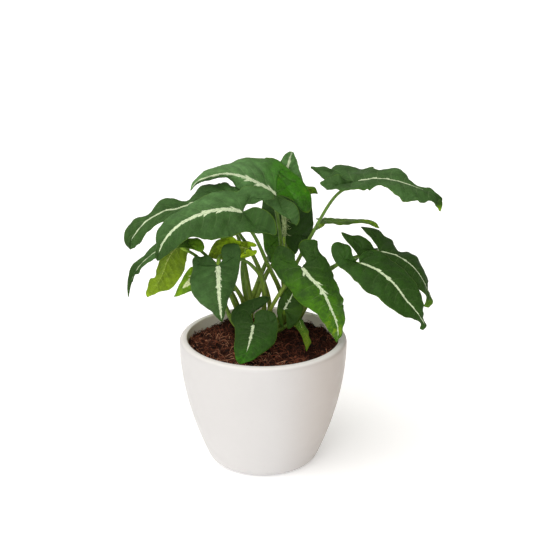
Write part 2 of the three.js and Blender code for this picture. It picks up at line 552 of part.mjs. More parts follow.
// Solids for joining and cutting, and back
function toSolid(geometry) {
  const bare = geometry.clone();
  bare.deleteAttribute('normal');
  bare.deleteAttribute('uv');
  const merged = mergeVertices(bare, 0.001);
  return new wasm.Manifold(new wasm.Mesh({
    numProp: 3,
    vertProperties: Float32Array.from(merged.attributes.position.array),
    triVerts: Uint32Array.from(fullTriangles(merged.index.array)),
  }));
}

function toGeometry(solid) {
  const mesh = solid.getMesh();
  return fromPositions(mesh.vertProperties, Array.from(mesh.triVerts));
}

// The largest of the separate bodies in a solid
function largestBody(solid) {
  return solid.decompose().reduce((best, body) => (body.volume() > best.volume() ? body : best));
}

function ring(radius, sides) {
  return new THREE.Shape(Array.from({ length: sides }, (_, i) => {
    const angle = 2 * Math.PI * i / sides;
    return new THREE.Vector2(radius * Math.cos(angle), radius * Math.sin(angle));
  }));
}

function tube(points, radius, sides, steps) {
  return new THREE.ExtrudeGeometry(ring(radius, sides), { steps, extrudePath: smooth(points) });
}

// The wall's outside swells from the foot up to the rim. It runs into a round arc at the foot, which
// touches both the wall and the surface below.
const WALL_RISE = POT_HEIGHT - RIM_HALF - FOOT_RISE;
const WALL_REACH = POT_DIAMETER / 2 - FOOT_RADIUS;
const WALL_LEAN = Math.atan2(WALL_RISE, WALL_REACH * WALL_SWELL);
const FOOT_ARC = FOOT_RISE / (1 - Math.cos(WALL_LEAN));
const FLAT_FOOT = FOOT_RADIUS - FOOT_ARC * Math.sin(WALL_LEAN);

// Radius of the pot's outside at height z
function potRadius(z) {
  if (z < FOOT_RISE) return FLAT_FOOT + Math.sqrt(FOOT_ARC ** 2 - (FOOT_ARC - z) ** 2);
  const rise = (z - FOOT_RISE) / WALL_RISE;
  return POT_DIAMETER / 2 - WALL_REACH * (1 - rise) ** WALL_SWELL;
}

function potProfile() {
  const profile = [new THREE.Vector2(0, 0)];
  const rimCentre = POT_DIAMETER / 2 - RIM_HALF;
  const shoulder = POT_HEIGHT - RIM_HALF;
  for (const share of [0, 0.25, 0.5, 0.75]) {
    const z = FOOT_ARC * (1 - Math.cos(WALL_LEAN * share));
    profile.push(new THREE.Vector2(potRadius(z), z));
  }
  for (const z of [FOOT_RISE, ...WALL_LEVELS]) profile.push(new THREE.Vector2(potRadius(z), z));
  for (let angle = 0; angle <= 180; angle += RIM_STEP) {
    const a = THREE.MathUtils.degToRad(angle);
    profile.push(new THREE.Vector2(rimCentre + RIM_HALF * Math.cos(a), shoulder + RIM_HALF * Math.sin(a)));
  }
  for (const z of INSIDE_LEVELS) profile.push(new THREE.Vector2(cavityRadius(z), z));
  profile.push(new THREE.Vector2(cavityRadius(FLOOR + CORNER), FLOOR + CORNER));
  profile.push(new THREE.Vector2(cavityRadius(FLOOR + CORNER) - CORNER, FLOOR));
  profile.push(new THREE.Vector2(0, FLOOR));
  return profile;
}

// Radius of the pot's inside at height z
function cavityRadius(z) {
  const rimInside = POT_DIAMETER / 2 - 2 * RIM_HALF;
  return Math.min(potRadius(z) - WALL, rimInside);
}

// A turned body about +Z from a profile of radius and height
function turned(profile, sides) {
  return new THREE.LatheGeometry(profile, sides).rotateX(Math.PI / 2);
}

// Height of the soil's top at a point: a low heap with uneven crumbs
function soilHeight(x, y) {
  const edge = cavityRadius(POT_HEIGHT - SOIL_DROP);
  const out = Math.min(1, Math.hypot(x, y) / edge);
  const { across, start, weight } = SOIL_WAVES;
  const swells = Math.sin(SOIL_WAVES.x * x + start[0]) * Math.cos(SOIL_WAVES.y * y - start[1]);
  const crumbs = swells + weight * Math.sin(across[0] * x - across[1] * y);
  return POT_HEIGHT - SOIL_DROP + SOIL_HEAP * (1 - out * out) + SOIL_CRUMB * crumbs * (1 - out ** 4);
}

// Soil: it fills the pot to just under the rim, and each shoot stands in a plain hole in it
function soilSolid() {
  const top = POT_HEIGHT - SOIL_DROP;
  const side = (z) => new THREE.Vector2(cavityRadius(z) - GAP, z);
  const profile = [new THREE.Vector2(0, FLOOR + GAP)];
  profile.push(new THREE.Vector2(cavityRadius(FLOOR + CORNER) - CORNER - GAP, FLOOR + GAP));
  const levels = INSIDE_LEVELS.filter((z) => z < top).reverse();
  for (const z of [FLOOR + CORNER + GAP, ...levels, top]) profile.push(side(z));
  for (const share of SOIL_RINGS) profile.push(new THREE.Vector2(cavityRadius(top) * share, top));
  const geometry = turned(profile, SOIL_SIDES);
  const { position } = geometry.attributes;
  for (let i = 0; i < position.count; i += 1) {
    const x = position.getX(i);
    const y = position.getY(i);
    if (position.getZ(i) > top - SAME_POINT) position.setZ(i, soilHeight(x, y));
  }
  let solid = toSolid(geometry);
  for (const { foot } of Object.values(SHOOTS)) {
    solid = solid.subtract(toSolid(stem(foot, STEM_RADIUS + GAP, STEM_DEPTH + GAP)));
  }
  return solid;
}

// A shoot's short stem, from its root end in the soil to just above it
function stem([x, y], radius, depth) {
  const level = soilHeight(x, y);
  const low = new THREE.Vector3(x, y, level - depth);
  return tube([low, new THREE.Vector3(x, y, level + STEM_RISE)], radius, STEM_SIDES, 1);
}

// The point under the midrib, just past the sinus, where a stalk joins its blade
function underMidrib(leaf) {
  const rib = smooth(leaf.rib);
  return rib.getPointAt(STALK_SEAT / rib.getLength());
}

// A shoot with its leaf stalks, which grow out of the stem and run to the joints of their blades. It is
// cut back by the clearance where it meets a blade.
function shootSolid({ foot, stalks }, blades) {
  const [x, y] = foot;
  const level = soilHeight(x, y);
  let solid = toSolid(stem(foot, STEM_RADIUS, STEM_DEPTH));
  for (const [name, via] of Object.entries(stalks)) {
    const path = [
      new THREE.Vector3(x, y, level - STALK_START),
      new THREE.Vector3(x, y, level + STEM_RISE - STALK_LEAVE),
      ...via.map(drawn),
      underMidrib(blades[name]),
    ];
    solid = solid.add(toSolid(tube(path, STALK_RADIUS, STALK_SIDES, STALK_STEPS)));
  }
  for (const name of Object.keys(stalks)) {
    const surface = bladeSurface(blades[name]);
    for (const grow of [2 * GAP, GAP / 2]) {
      solid = solid.subtract(toSolid(bladeGeometry(surface, BLADE + GAP + grow / 2, grow)));
    }
  }
  return largestBody(solid);
}

// Finishes
const CERAMIC = { color: 0xe6e2de, roughness: 0.55, metalness: 0 };
const SOIL = { color: 0x3b2418, roughness: 1, metalness: 0 };
const STALK = { color: 0x7d9c4a, roughness: 0.5, metalness: 0 };
const LEAF = { color: 0x2c5a33, roughness: 0.5, metalness: 0 };
const YOUNG_LEAF = { color: 0x6f8f2b, roughness: 0.5, metalness: 0 };
const YOUNG = ['pale_left', 'small_left', 'behind_left', 'small_right'];

const plant = new THREE.Group();

function addPiece(name, geometry, finish) {
  const piece = new THREE.Mesh(geometry, new THREE.MeshStandardMaterial(finish));
  piece.name = name;
  plant.add(piece);
}

const blades = {};
for (const [name, leaf] of Object.entries(DRAWN_LEAVES)) blades[name] = placeDrawn(leaf);
for (const [name, leaf] of Object.entries(BACK_LEAVES)) blades[name] = placeBack(leaf);

addPiece('pot', turned(potProfile(), POT_SIDES), CERAMIC);
addPiece('soil', toGeometry(soilSolid()), SOIL);
for (const [name, shoot] of Object.entries(SHOOTS)) {
  addPiece(name, toGeometry(shootSolid(shoot, blades)), STALK);
}
for (const [name, leaf] of Object.entries(blades)) {
  const finish = YOUNG.includes(name) ? YOUNG_LEAF : LEAF;
  addPiece(`leaf_${name}`, bladeGeometry(bladeSurface(leaf), BLADE), finish);
}

export default plant;
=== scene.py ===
import bpy
import numpy as np
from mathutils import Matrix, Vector


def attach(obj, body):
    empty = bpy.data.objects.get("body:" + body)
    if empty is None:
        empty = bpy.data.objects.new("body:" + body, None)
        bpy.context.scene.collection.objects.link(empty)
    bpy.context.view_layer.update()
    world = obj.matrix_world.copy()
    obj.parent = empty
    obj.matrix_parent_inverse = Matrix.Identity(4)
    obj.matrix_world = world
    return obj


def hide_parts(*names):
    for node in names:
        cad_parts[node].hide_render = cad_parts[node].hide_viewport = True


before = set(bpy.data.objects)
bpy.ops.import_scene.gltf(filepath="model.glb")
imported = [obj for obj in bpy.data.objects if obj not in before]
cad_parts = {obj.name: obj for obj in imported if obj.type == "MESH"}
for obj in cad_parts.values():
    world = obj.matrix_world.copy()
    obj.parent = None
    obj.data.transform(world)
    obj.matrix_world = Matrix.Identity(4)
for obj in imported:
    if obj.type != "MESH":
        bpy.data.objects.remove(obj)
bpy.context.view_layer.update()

# The view and the light: the plant stands on a glowing white table in a bright room, and a long lens looks
# at it from in front and a little above. A broad window is at the upper left and a wide lamp above the
# lens, and the room's white ceiling is brighter at the left and in front.
MM = 0.001
EYE = np.array((3, -1278, 644)) * MM
AIM = np.array((3, 0, 183.8)) * MM
LENS = 103.94
SENSOR = 36
# Where each light comes from, its breadth as an angle, and its strength
WINDOWS = {"window": ((-0.5, -0.45, 1.0), 1.2, 1.05), "lamp": ((-0.15, -1.0, 0.5), 0.7, 1.05)}
ROOM_COLOUR = (1.0, 0.965, 0.92, 1)
HORIZON_LIGHT = 0.1
CEILING_LIGHT = 1.0
LEFTWARD = -0.75
FRONTWARD = -0.2
# In metres, so that the table's far edge is out of sight
TABLE_SIZE = 200
TABLE_BELOW = 0.2 * MM
TABLE_COLOUR = (0.95, 0.95, 0.95, 1)
TABLE_GLOW = 0.26

eye_data = bpy.data.cameras.new("eye")
eye_data.lens, eye_data.sensor_width = LENS, SENSOR
eye_data.clip_end = 2 * TABLE_SIZE
eye = bpy.data.objects.new("eye", eye_data)
eye.location = EYE
eye.rotation_euler = Vector(AIM - EYE).to_track_quat("-Z", "Y").to_euler()
bpy.context.scene.collection.objects.link(eye)
bpy.context.scene.camera = eye
bpy.context.scene.view_settings.view_transform = "Standard"

for name, (come_from, breadth, power) in WINDOWS.items():
    window_data = bpy.data.lights.new(name, "SUN")
    window_data.angle, window_data.energy = breadth, power
    window = bpy.data.objects.new(name, window_data)
    window.rotation_euler = Vector(come_from).to_track_quat("Z", "Y").to_euler()
    bpy.context.scene.collection.objects.link(window)


def feed(tree, made, inputs):
    """Fills a node's inputs. Each is a value, or an output of another node to link from."""
    for socket, value in inputs.items():
        if isinstance(value, bpy.types.NodeSocket):
            tree.links.new(value, made.inputs[socket])
        else:
            made.inputs[socket].default_value = value


def node(tree, kind, inputs=None, **settings):
    """A shader node with its inputs and settings."""
    made = tree.nodes.new("ShaderNode" + kind)
    for name, value in settings.items():
        setattr(made, name, value)
    feed(tree, made, inputs or {})
    return made


def reckon(tree, operation, first, second=0.0, third=0.0):
    """The output of a maths node."""
    return node(tree, "Math", {0: first, 1: second, 2: third}, operation=operation).outputs[0]


room = bpy.data.worlds.new("room")
room.use_nodes = True
tree = room.node_tree
towards = node(tree, "SeparateXYZ", {0: node(tree, "TexCoord").outputs["Generated"]}).outputs
height = node(tree, "MapRange", {
    "Value": towards["Z"], "To Min": HORIZON_LIGHT, "To Max": CEILING_LIGHT}).outputs[0]
lean = reckon(tree, "MULTIPLY_ADD", towards["X"], LEFTWARD, 1.0)
lean = reckon(tree, "MULTIPLY_ADD", towards["Y"], FRONTWARD, lean)
walls = tree.nodes["Background"]
feed(tree, walls, {"Color": ROOM_COLOUR, "Strength": reckon(tree, "MULTIPLY", height, lean)})
bpy.context.scene.world = room


def finish_of(name, inputs):
    """A new material, its node tree and its Principled shader, with inputs that are the same all over."""
    material = bpy.data.materials.new(name)
    material.use_nodes = True
    shader = material.node_tree.nodes["Principled BSDF"]
    feed(material.node_tree, shader, inputs)
    return material, material.node_tree, shader


table_top, _, _ = finish_of("white_table", {
    "Base Color": TABLE_COLOUR, "Roughness": 0.9,
    "Emission Color": (1, 1, 1, 1), "Emission Strength": TABLE_GLOW})
bpy.ops.mesh.primitive_plane_add(size=TABLE_SIZE, location=(0, 0, -TABLE_BELOW))
table = bpy.context.object
table.name = "table"
table.data.materials.append(table_top)

# The pot: a round tapered cover pot of glazed earthenware, off-white, thrown in one piece. Its wall swells
# from a narrow foot up to a rim with a soft shoulder and a crisp inner edge, and it has no hole. The glaze
# is satin, with faint clouds and pin pricks. It is painted whiter on the rim's top and inside, which is
# painted light, and darker and warmer at the right, which is painted shade.
POT_RADIUS = 75 * MM
POT_HEIGHT = 118 * MM
RIM_HALF = 4.7 * MM
RIM_WIDTH = 6.8 * MM
RIM_EDGE = 1.1 * MM
# How far under the rim's top its whiter glaze, which is painted light, begins, and how far under it is full
LIT_RIM_BAND = (2.6 * MM, 0.4 * MM)
FOOT_RADIUS = 50.4 * MM
FOOT_RISE = 7.3 * MM
FOOT_RING = 4 * MM
# Where the painted shade on the pot's right side begins
SHADE_FROM = 5 * MM
WALL_SWELL = 1.9
WALL = 5.6 * MM
FLOOR = 8 * MM
CORNER = 7 * MM
POT_SIDES = 192
PROFILE_STEPS = {"foot": 8, "wall": 40, "shoulder": 13, "edge": 7, "inside": 30, "corner": 7}
# Lumps a metre in the glaze: its clouds, its pricks and where they gather, its satin and its grain
CLOUDS = 26.0
PRICKS = 420.0
PRICKED_PATCHES = 60.0
SATIN_PATCHES = 90.0
GLAZE_GRAIN = 700.0
# Points closer than this become one
WELD = 0.001 * MM


def linear(red, green, blue):
    """A colour seen as red, green, blue of 255, as the light that a shader reckons with."""
    seen = np.array((red, green, blue)) / 255
    light = np.where(seen < 0.04045, seen / 12.92, ((seen + 0.055) / 1.055) ** 2.4)
    return (*light.tolist(), 1)


# The glaze's own colour, a darker and warmer one that paints shade on the pot's right side, a whiter one
# that paints light on the rim's top, a whiter one still that paints light on the inside wall, and the
# pricks' colour
GLAZE = linear(199, 197, 196)
SHADED_RIGHT_GLAZE = linear(186, 176, 168)
LIT_RIM_GLAZE = linear(222, 219, 216)
LIT_INNER_GLAZE = linear(250, 243, 230)
PRICK_COLOUR = linear(150, 138, 124)


def squares_of(rows, columns, closed=False):
    """Corner numbers of a grid's squares. Faces look along column step x row step. closed joins the last
    column to the first."""
    numbers = np.arange(rows * columns).reshape(rows, columns)
    if closed:
        numbers = np.c_[numbers, numbers[:, :1]]
    corners = (numbers[:-1, :-1], numbers[:-1, 1:], numbers[1:, 1:], numbers[1:, :-1])
    return np.stack(corners, axis=-1).reshape(-1, 4)


def welded(points, squares):
    """The first point of each place, the place number of every point, and the squares as triangles of
    place numbers, without those that have shrunk to a line."""
    _, first, place = np.unique(np.round(points / WELD), axis=0, return_index=True, return_inverse=True)
    place = place.ravel()
    corners = place[squares]
    triangles = np.concatenate([corners[:, [0, 1, 2]], corners[:, [0, 2, 3]]])
    a, b, c = triangles.T
    return first, place, triangles[(a != b) & (b != c) & (c != a)]


def piece(name, points, faces, materials, marks, stands_for=(), uv=None, under=None):
    """A smooth piece of the plant at the origin, riding on the one body. marks are values for each point,
    uv is each point's place on the flattened surface, and under says which faces take the second of its
    materials."""
    mesh = bpy.data.meshes.new(name)
    mesh.from_pydata(points.tolist(), [], faces.tolist())
    for material in materials:
        mesh.materials.append(material)
    mesh.polygons.foreach_set("use_smooth", np.ones(len(faces), bool))
    if under is not None:
        mesh.polygons.foreach_set("material_index", under.astype(np.int32))
    for mark, values in marks.items():
        made = mesh.attributes.new(mark, "FLOAT", "POINT")
        made.data.foreach_set("value", np.ascontiguousarray(values, np.float32))
    if uv is not None:
        corners = np.zeros(len(mesh.loops), np.int32)
        mesh.loops.foreach_get("vertex_index", corners)
        mesh.uv_layers.new(name="surface").data.foreach_set("uv", uv[corners].astype(np.float32).ravel())
    mesh.update()
    made = bpy.data.objects.new(name, mesh)
    bpy.context.scene.collection.objects.link(made)
    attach(made, "root")
    if stands_for:
        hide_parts(*stands_for)


def sewn(name, points, squares, material, marks=None, stands_for=()):
    """A piece from a grid's points and squares, with the points at one place made one."""
    first, _, faces = welded(points, squares)
    marks = {mark: values[first] for mark, values in (marks or {}).items()}
    piece(name, points[first], faces, [material], marks, stands_for)


wall_lean = np.arctan2(POT_HEIGHT - RIM_HALF - FOOT_RISE, (POT_RADIUS - FOOT_RADIUS) * WALL_SWELL)
foot_arc = FOOT_RISE / (1 - np.cos(wall_lean))
flat_foot = FOOT_RADIUS - foot_arc * np.sin(wall_lean)


def pot_radius(z):
    """The outside's radius at height z: a round arc at the foot, then a wall that swells by a power of the
    height left to the rim."""
    arc = flat_foot + np.sqrt(np.maximum(foot_arc**2 - (foot_arc - z) ** 2, 0))
    rise = np.clip((z - FOOT_RISE) / (POT_HEIGHT - RIM_HALF - FOOT_RISE), 0, 1)
    return np.where(z < FOOT_RISE, arc, POT_RADIUS - (POT_RADIUS - FOOT_RADIUS) * (1 - rise) ** WALL_SWELL)


def cavity_radius(z):
    """The inside's radius at height z: a wall's thickness in from the outside, and no wider than the rim
    leaves."""
    return np.minimum(pot_radius(z) - WALL, POT_RADIUS - RIM_WIDTH)


def turned(radius, height, sides):
    """Points of a turned body: row i is a circle of radius[i] at height[i], and column j lies at angle j of
    sides."""
    angle = 2 * np.pi * np.arange(sides) / sides
    flat = radius[:, None, None] * np.stack([np.cos(angle), np.sin(angle)], axis=-1)[None]
    return np.concatenate([flat, np.broadcast_to(height[:, None, None], (*flat.shape[:2], 1))], axis=2)


foot_z = foot_arc * (1 - np.cos(wall_lean * np.linspace(0, 1, PROFILE_STEPS["foot"])))
wall_z = np.linspace(FOOT_RISE, POT_HEIGHT - RIM_HALF, PROFILE_STEPS["wall"])[1:]
roll = np.radians(np.linspace(0, 90, PROFILE_STEPS["shoulder"]))[1:]
edge = np.radians(np.linspace(90, 180, PROFILE_STEPS["edge"]))
inner_z = np.linspace(POT_HEIGHT - RIM_EDGE, FLOOR + CORNER, PROFILE_STEPS["inside"])[1:]
bend = np.radians(np.linspace(0, 90, PROFILE_STEPS["corner"]))[1:]
inside_corner = cavity_radius(np.array(FLOOR + CORNER)) - CORNER
radius = np.concatenate([
    [0, flat_foot - FOOT_RING], pot_radius(foot_z), pot_radius(wall_z),
    POT_RADIUS - RIM_HALF + RIM_HALF * np.cos(roll), POT_RADIUS - RIM_WIDTH + RIM_EDGE * (1 + np.cos(edge)),
    cavity_radius(inner_z), inside_corner + CORNER * np.cos(bend), [0],
])
height = np.concatenate([
    [0, 0], foot_z, wall_z,
    POT_HEIGHT - RIM_HALF + RIM_HALF * np.sin(roll), POT_HEIGHT - RIM_EDGE + RIM_EDGE * np.sin(edge),
    inner_z, FLOOR + CORNER - CORNER * np.sin(bend), [FLOOR],
])
shell = turned(radius, height, POT_SIDES)


def group(name, inputs, outputs):
    """A new shader node group, its input node and its output node."""
    tree = bpy.data.node_groups.new(name, "ShaderNodeTree")
    for way, sockets in (("INPUT", inputs), ("OUTPUT", outputs)):
        for socket, kind in sockets.items():
            tree.interface.new_socket(socket, in_out=way, socket_type="NodeSocket" + kind)
    return tree, tree.nodes.new("NodeGroupInput").outputs, tree.nodes.new("NodeGroupOutput")


def use(tree, inner, inputs):
    """The outputs of a group placed in a material or in another group."""
    made = tree.nodes.new("ShaderNodeGroup")
    made.node_tree = inner
    feed(tree, made, inputs)
    return made.outputs


def spread(tree, value, low, high, to_low=0.0, to_high=1.0):
    """value moved from the range low to high to another range, eased at both ends."""
    inputs = {"Value": value, "From Min": low, "From Max": high, "To Min": to_low, "To Max": to_high}
    return node(tree, "MapRange", inputs, interpolation_type="SMOOTHSTEP").outputs[0]


def blended(tree, share, first, second):
    """The colour between two colours."""
    return node(tree, "Mix", {0: share, 6: first, 7: second}, data_type="RGBA").outputs[2]


def noise(tree, place, scale, detail=3.0, roughness=0.5):
    """Cloudy noise at a place. scale is in lumps per metre."""
    inputs = {"Vector": place, "Scale": scale, "Detail": detail, "Roughness": roughness}
    return node(tree, "TexNoise", inputs).outputs["Fac"]


def toned(tree, colour, tone):
    """A colour with its brightness multiplied by tone."""
    return node(tree, "VectorMath", {0: colour, "Scale": tone}, operation="SCALE").outputs["Vector"]


def raised(tree, height, strength, depth):
    """The normals of a surface that rises by depth where height goes from 0 to 1."""
    return node(tree, "Bump", {"Height": height, "Strength": strength, "Distance": depth}).outputs["Normal"]


# Clouds is the uneven tone of fired glaze and of a blade. Scale is in clouds per metre.
clouds, given, wanted = group(
    "clouds", {"Place": "Vector", "Scale": "Float", "Strength": "Float"}, {"Tone": "Float"})
broad = noise(clouds, given["Place"], given["Scale"], 2.0)
fine = noise(clouds, given["Place"], reckon(clouds, "MULTIPLY", given["Scale"], 7.0), 2.0)
both = reckon(clouds, "MULTIPLY_ADD", fine, 0.4, reckon(clouds, "MULTIPLY", broad, 0.6))
swing = reckon(clouds, "SUBTRACT", both, 0.5)
feed(clouds, wanted, {"Tone": reckon(clouds, "MULTIPLY_ADD", swing, given["Strength"], 1.0)})

glaze, tree, shader = finish_of("satin_glaze", {"Specular IOR Level": 0.42})
place = node(tree, "TexCoord").outputs["Object"]
axes = node(tree, "SeparateXYZ", {0: place}).outputs
pricks = node(tree, "TexVoronoi", {"Vector": place, "Scale": PRICKS}, feature="F1").outputs["Distance"]
prick = spread(tree, pricks, 0.05, 0.16, 1.0, 0.0)
prick = reckon(tree, "MULTIPLY", prick, spread(tree, noise(tree, place, PRICKED_PATCHES, 1.0), 0.6, 0.66))
flat = node(tree, "VectorMath", {0: place, 1: (1, 1, 0)}, operation="MULTIPLY").outputs["Vector"]
out = node(tree, "VectorMath", {0: flat}, operation="LENGTH").outputs["Value"]
# Painted light: the inside wall above the soil is whiter, for the light that falls into the pot
lit_inside = spread(tree, out, POT_RADIUS - RIM_WIDTH, POT_RADIUS - RIM_WIDTH + RIM_EDGE, 1.0, 0.0)
lit_inside = reckon(tree, "MULTIPLY", lit_inside, spread(tree, axes["Z"], 0.75 * POT_HEIGHT, 0.8 * POT_HEIGHT))
# Painted shade: the glaze grows darker and warmer towards the pot's right side
body = blended(tree, spread(tree, axes["X"], SHADE_FROM, POT_RADIUS), GLAZE, SHADED_RIGHT_GLAZE)
# Painted light: the rim's top is whiter, as if lit from above
lit_rim_top = spread(tree, axes["Z"], POT_HEIGHT - LIT_RIM_BAND[0], POT_HEIGHT - LIT_RIM_BAND[1])
body = blended(tree, lit_inside, blended(tree, lit_rim_top, body, LIT_RIM_GLAZE), LIT_INNER_GLAZE)
body = toned(tree, body, use(tree, clouds, {"Place": place, "Scale": CLOUDS, "Strength": 0.07})["Tone"])
grain = reckon(tree, "MULTIPLY", noise(tree, place, GLAZE_GRAIN, 2.0), 0.3)
feed(tree, shader, {
    "Base Color": blended(tree, reckon(tree, "MULTIPLY", prick, 0.35), body, PRICK_COLOUR),
    "Roughness": spread(tree, noise(tree, place, SATIN_PATCHES), 0.3, 0.7, 0.36, 0.52),
    "Normal": raised(tree, reckon(tree, "SUBTRACT", grain, prick), 0.25, 0.15 * MM)})

squares = squares_of(*shell.shape[:2], closed=True)
sewn("pot_shell", shell.reshape(-1, 3), squares, glaze, stands_for=["pot"])

# The soil: dark peat heaped loosely to a little below the rim, with crumbs of bark and short coir fibres on
# it that lie and bend as they fell, drier and paler in patches, and darker towards the right and back,
# which is painted shade.
SOIL_DROP = 13 * MM
SOIL_HEAP = 4 * MM
SOIL_WAVE = 0.9 * MM
# Height, breadth and seed of each size of lump
SOIL_LUMPS = (
    (2.2 * MM, 11 * MM, 1), (1.7 * MM, 5 * MM, 2), (1.0 * MM, 2.2 * MM, 3), (0.35 * MM, 1 * MM, 4))
SOIL_BANK = 2 * MM
SOIL_RINGS = 90
SOIL_SIDES = 240
SIDE_RINGS = 8
SIDE_DROP = 4 * MM
GAP = 0.3 * MM
SIDE_GAP = 0.1 * MM
LUMP_GRID = 256
GRID_CENTRE = 100
PEAT = (linear(12, 6, 4), linear(64, 32, 21))
# Lumps a metre in the peat's patches and grain, and in the litter's grain
PEAT_PATCHES = 260.0
PEAT_GRAIN = 900.0
LITTER_GRAIN = 1500.0
EDGE_CLEAR = 1.5 * MM
CRUMBS = 2600
CRUMB_RINGS = 6
CRUMB_SIDES = 8
CRUMB_SEED = 5
# Millimetres: the least radius, and how much more the largest has
CRUMB_RADIUS = (0.5, 1.6)
# How much longer, broader and higher than a ball, from and to
CRUMB_STRETCH = ((0.9, 2.2), (0.6, 1.1), (0.3, 0.7))
CRUMB_LUMP = 0.28
FIBRES = 2600
FIBRE_STEPS = 8
FIBRE_SIDES = 4
FIBRE_SEED = 7
# Ranges in millimetres, and the most that a fibre bends, as an angle
FIBRE_LENGTH = (4, 19)
FIBRE_LIFT = (-0.2, 4.2)
FIBRE_RADIUS = (0.07, 0.24)
FIBRE_BEND = 1.5
FIBRE_CLEAR = 1 * MM
FIBRE_ABOVE = 0.25 * MM
FIBRE_TAPER = (0, 1, 1, 1, 1, 0.9, 0.7, 0)
DRY_PATCH = 15 * MM
DRY_SEED = 9
# The litter's colours from dark to dry: those at both ends, and those at shares of the way
LITTER_ENDS = (linear(18, 8, 5), linear(232, 176, 138))
LITTER = {0.42: linear(68, 33, 20), 0.72: linear(154, 88, 62)}
# A direction that no strand runs along
NO_PATH = (0.13, 0.07, 1.0)
soil_level = POT_HEIGHT - SOIL_DROP
soil_edge = float(cavity_radius(np.array(soil_level)))


def soil_height(x, y):
    """Height of the heaped soil at x, y, before its crumbs: a low dome with a slow waviness."""
    out = np.minimum(1, np.hypot(x, y) / soil_edge)
    across, along = x / MM, y / MM
    wave = np.sin(0.31 * across + 1.3) * np.cos(0.27 * along - 0.4)
    wave = wave + 0.6 * np.sin(0.53 * across - 0.47 * along)
    return soil_level + SOIL_HEAP * (1 - out**2) + SOIL_WAVE * wave * (1 - out**4)


def lumps(x, y, breadth, seed):
    """Smooth random heights from -1 to 1: a grid of random heights, breadth apart, eased between its
    points."""
    heights = np.random.default_rng(seed).uniform(-1, 1, (LUMP_GRID, LUMP_GRID))
    down, across = x / breadth + GRID_CENTRE, y / breadth + GRID_CENTRE
    row, column = np.floor(down).astype(int), np.floor(across).astype(int)
    down, across = down - row, across - column
    down, across = down * down * (3 - 2 * down), across * across * (3 - 2 * across)
    row, column = row % (LUMP_GRID - 1), column % (LUMP_GRID - 1)
    near = heights[row, column] * (1 - across) + heights[row, column + 1] * across
    far = heights[row + 1, column] * (1 - across) + heights[row + 1, column + 1] * across
    return near * (1 - down) + far * down


def bed_height(x, y):
    """Height of the real soil surface: the heap with lumps of four sizes, banked up a little at its
    edge."""
    out = np.minimum(1, np.hypot(x, y) / soil_edge)
    rough = sum(height * lumps(x, y, breadth, seed) for height, breadth, seed in SOIL_LUMPS)
    return soil_height(x, y) + rough + SOIL_BANK * out**6


soil_radius = (soil_edge - SIDE_GAP) * np.linspace(0, 1, SOIL_RINGS + 1)[::-1]
bed = turned(soil_radius, np.zeros(SOIL_RINGS + 1), SOIL_SIDES)
bed[..., 2] = bed_height(bed[..., 0], bed[..., 1])
side_z = np.linspace(FLOOR + CORNER, soil_level - SIDE_DROP, SIDE_RINGS)
side = turned(cavity_radius(side_z) - GAP, side_z, SOIL_SIDES)
base = turned(np.array([0, inside_corner]), np.full(2, FLOOR + GAP), SOIL_SIDES)
heap = np.concatenate([base, side, bed])

peat, tree, shader = finish_of("peat", {"Roughness": 0.95, "Specular IOR Level": 0.15})
place = node(tree, "TexCoord").outputs["Object"]
pale = spread(tree, noise(tree, place, PEAT_PATCHES, 4.0, 0.6), 0.3, 0.7)
feed(tree, shader, {
    "Base Color": blended(tree, pale, *PEAT),
    "Normal": raised(tree, noise(tree, place, PEAT_GRAIN, 4.0, 0.7), 0.9, 0.8 * MM)})
squares = squares_of(*heap.shape[:2], closed=True)
sewn("soil_bed", heap.reshape(-1, 3), squares, peat, stands_for=["soil"])

litter, tree, shader = finish_of("bark_and_coir", {"Roughness": 0.85, "Specular IOR Level": 0.2})
ramp = node(tree, "ValToRGB", {"Fac": node(tree, "Attribute", attribute_name="shade").outputs["Fac"]})
stops = ramp.color_ramp.elements
stops[0].color, stops[1].color = LITTER_ENDS
for stop, colour in LITTER.items():
    stops.new(stop).color = colour
grain = noise(tree, node(tree, "TexCoord").outputs["Object"], LITTER_GRAIN, 3.0, 0.6)
feed(tree, shader, {
    "Base Color": toned(tree, ramp.outputs["Color"], spread(tree, grain, 0.25, 0.75, 0.65, 1.3)),
    "Normal": raised(tree, grain, 0.6, 0.3 * MM)})


def scattered(count, seed):
    """count random places on the soil, even over its area, as x, y and the surface height there, and the
    random draw they came from."""
    draw = np.random.default_rng(seed)
    distance = (soil_edge - EDGE_CLEAR) * np.sqrt(draw.uniform(0, 1, count))
    angle = draw.uniform(0, 2 * np.pi, count)
    x, y = distance * np.cos(angle), distance * np.sin(angle)
    return np.stack([x, y, bed_height(x, y)], axis=1), draw


def dryness_and_shade(x, y):
    """How pale the soil is, 0 to 1: drier and paler in random patches, and darker towards the right and
    back, which is painted shade.
    """
    return np.clip(0.5 + 0.45 * lumps(x, y, DRY_PATCH, DRY_SEED) - (0.3 * x + 0.4 * y) / soil_edge, 0, 1)


def copies(squares, size, count):
    """The squares of count copies of a shape of size points."""
    return (squares[None] + size * np.arange(count)[:, None, None]).reshape(-1, 4)


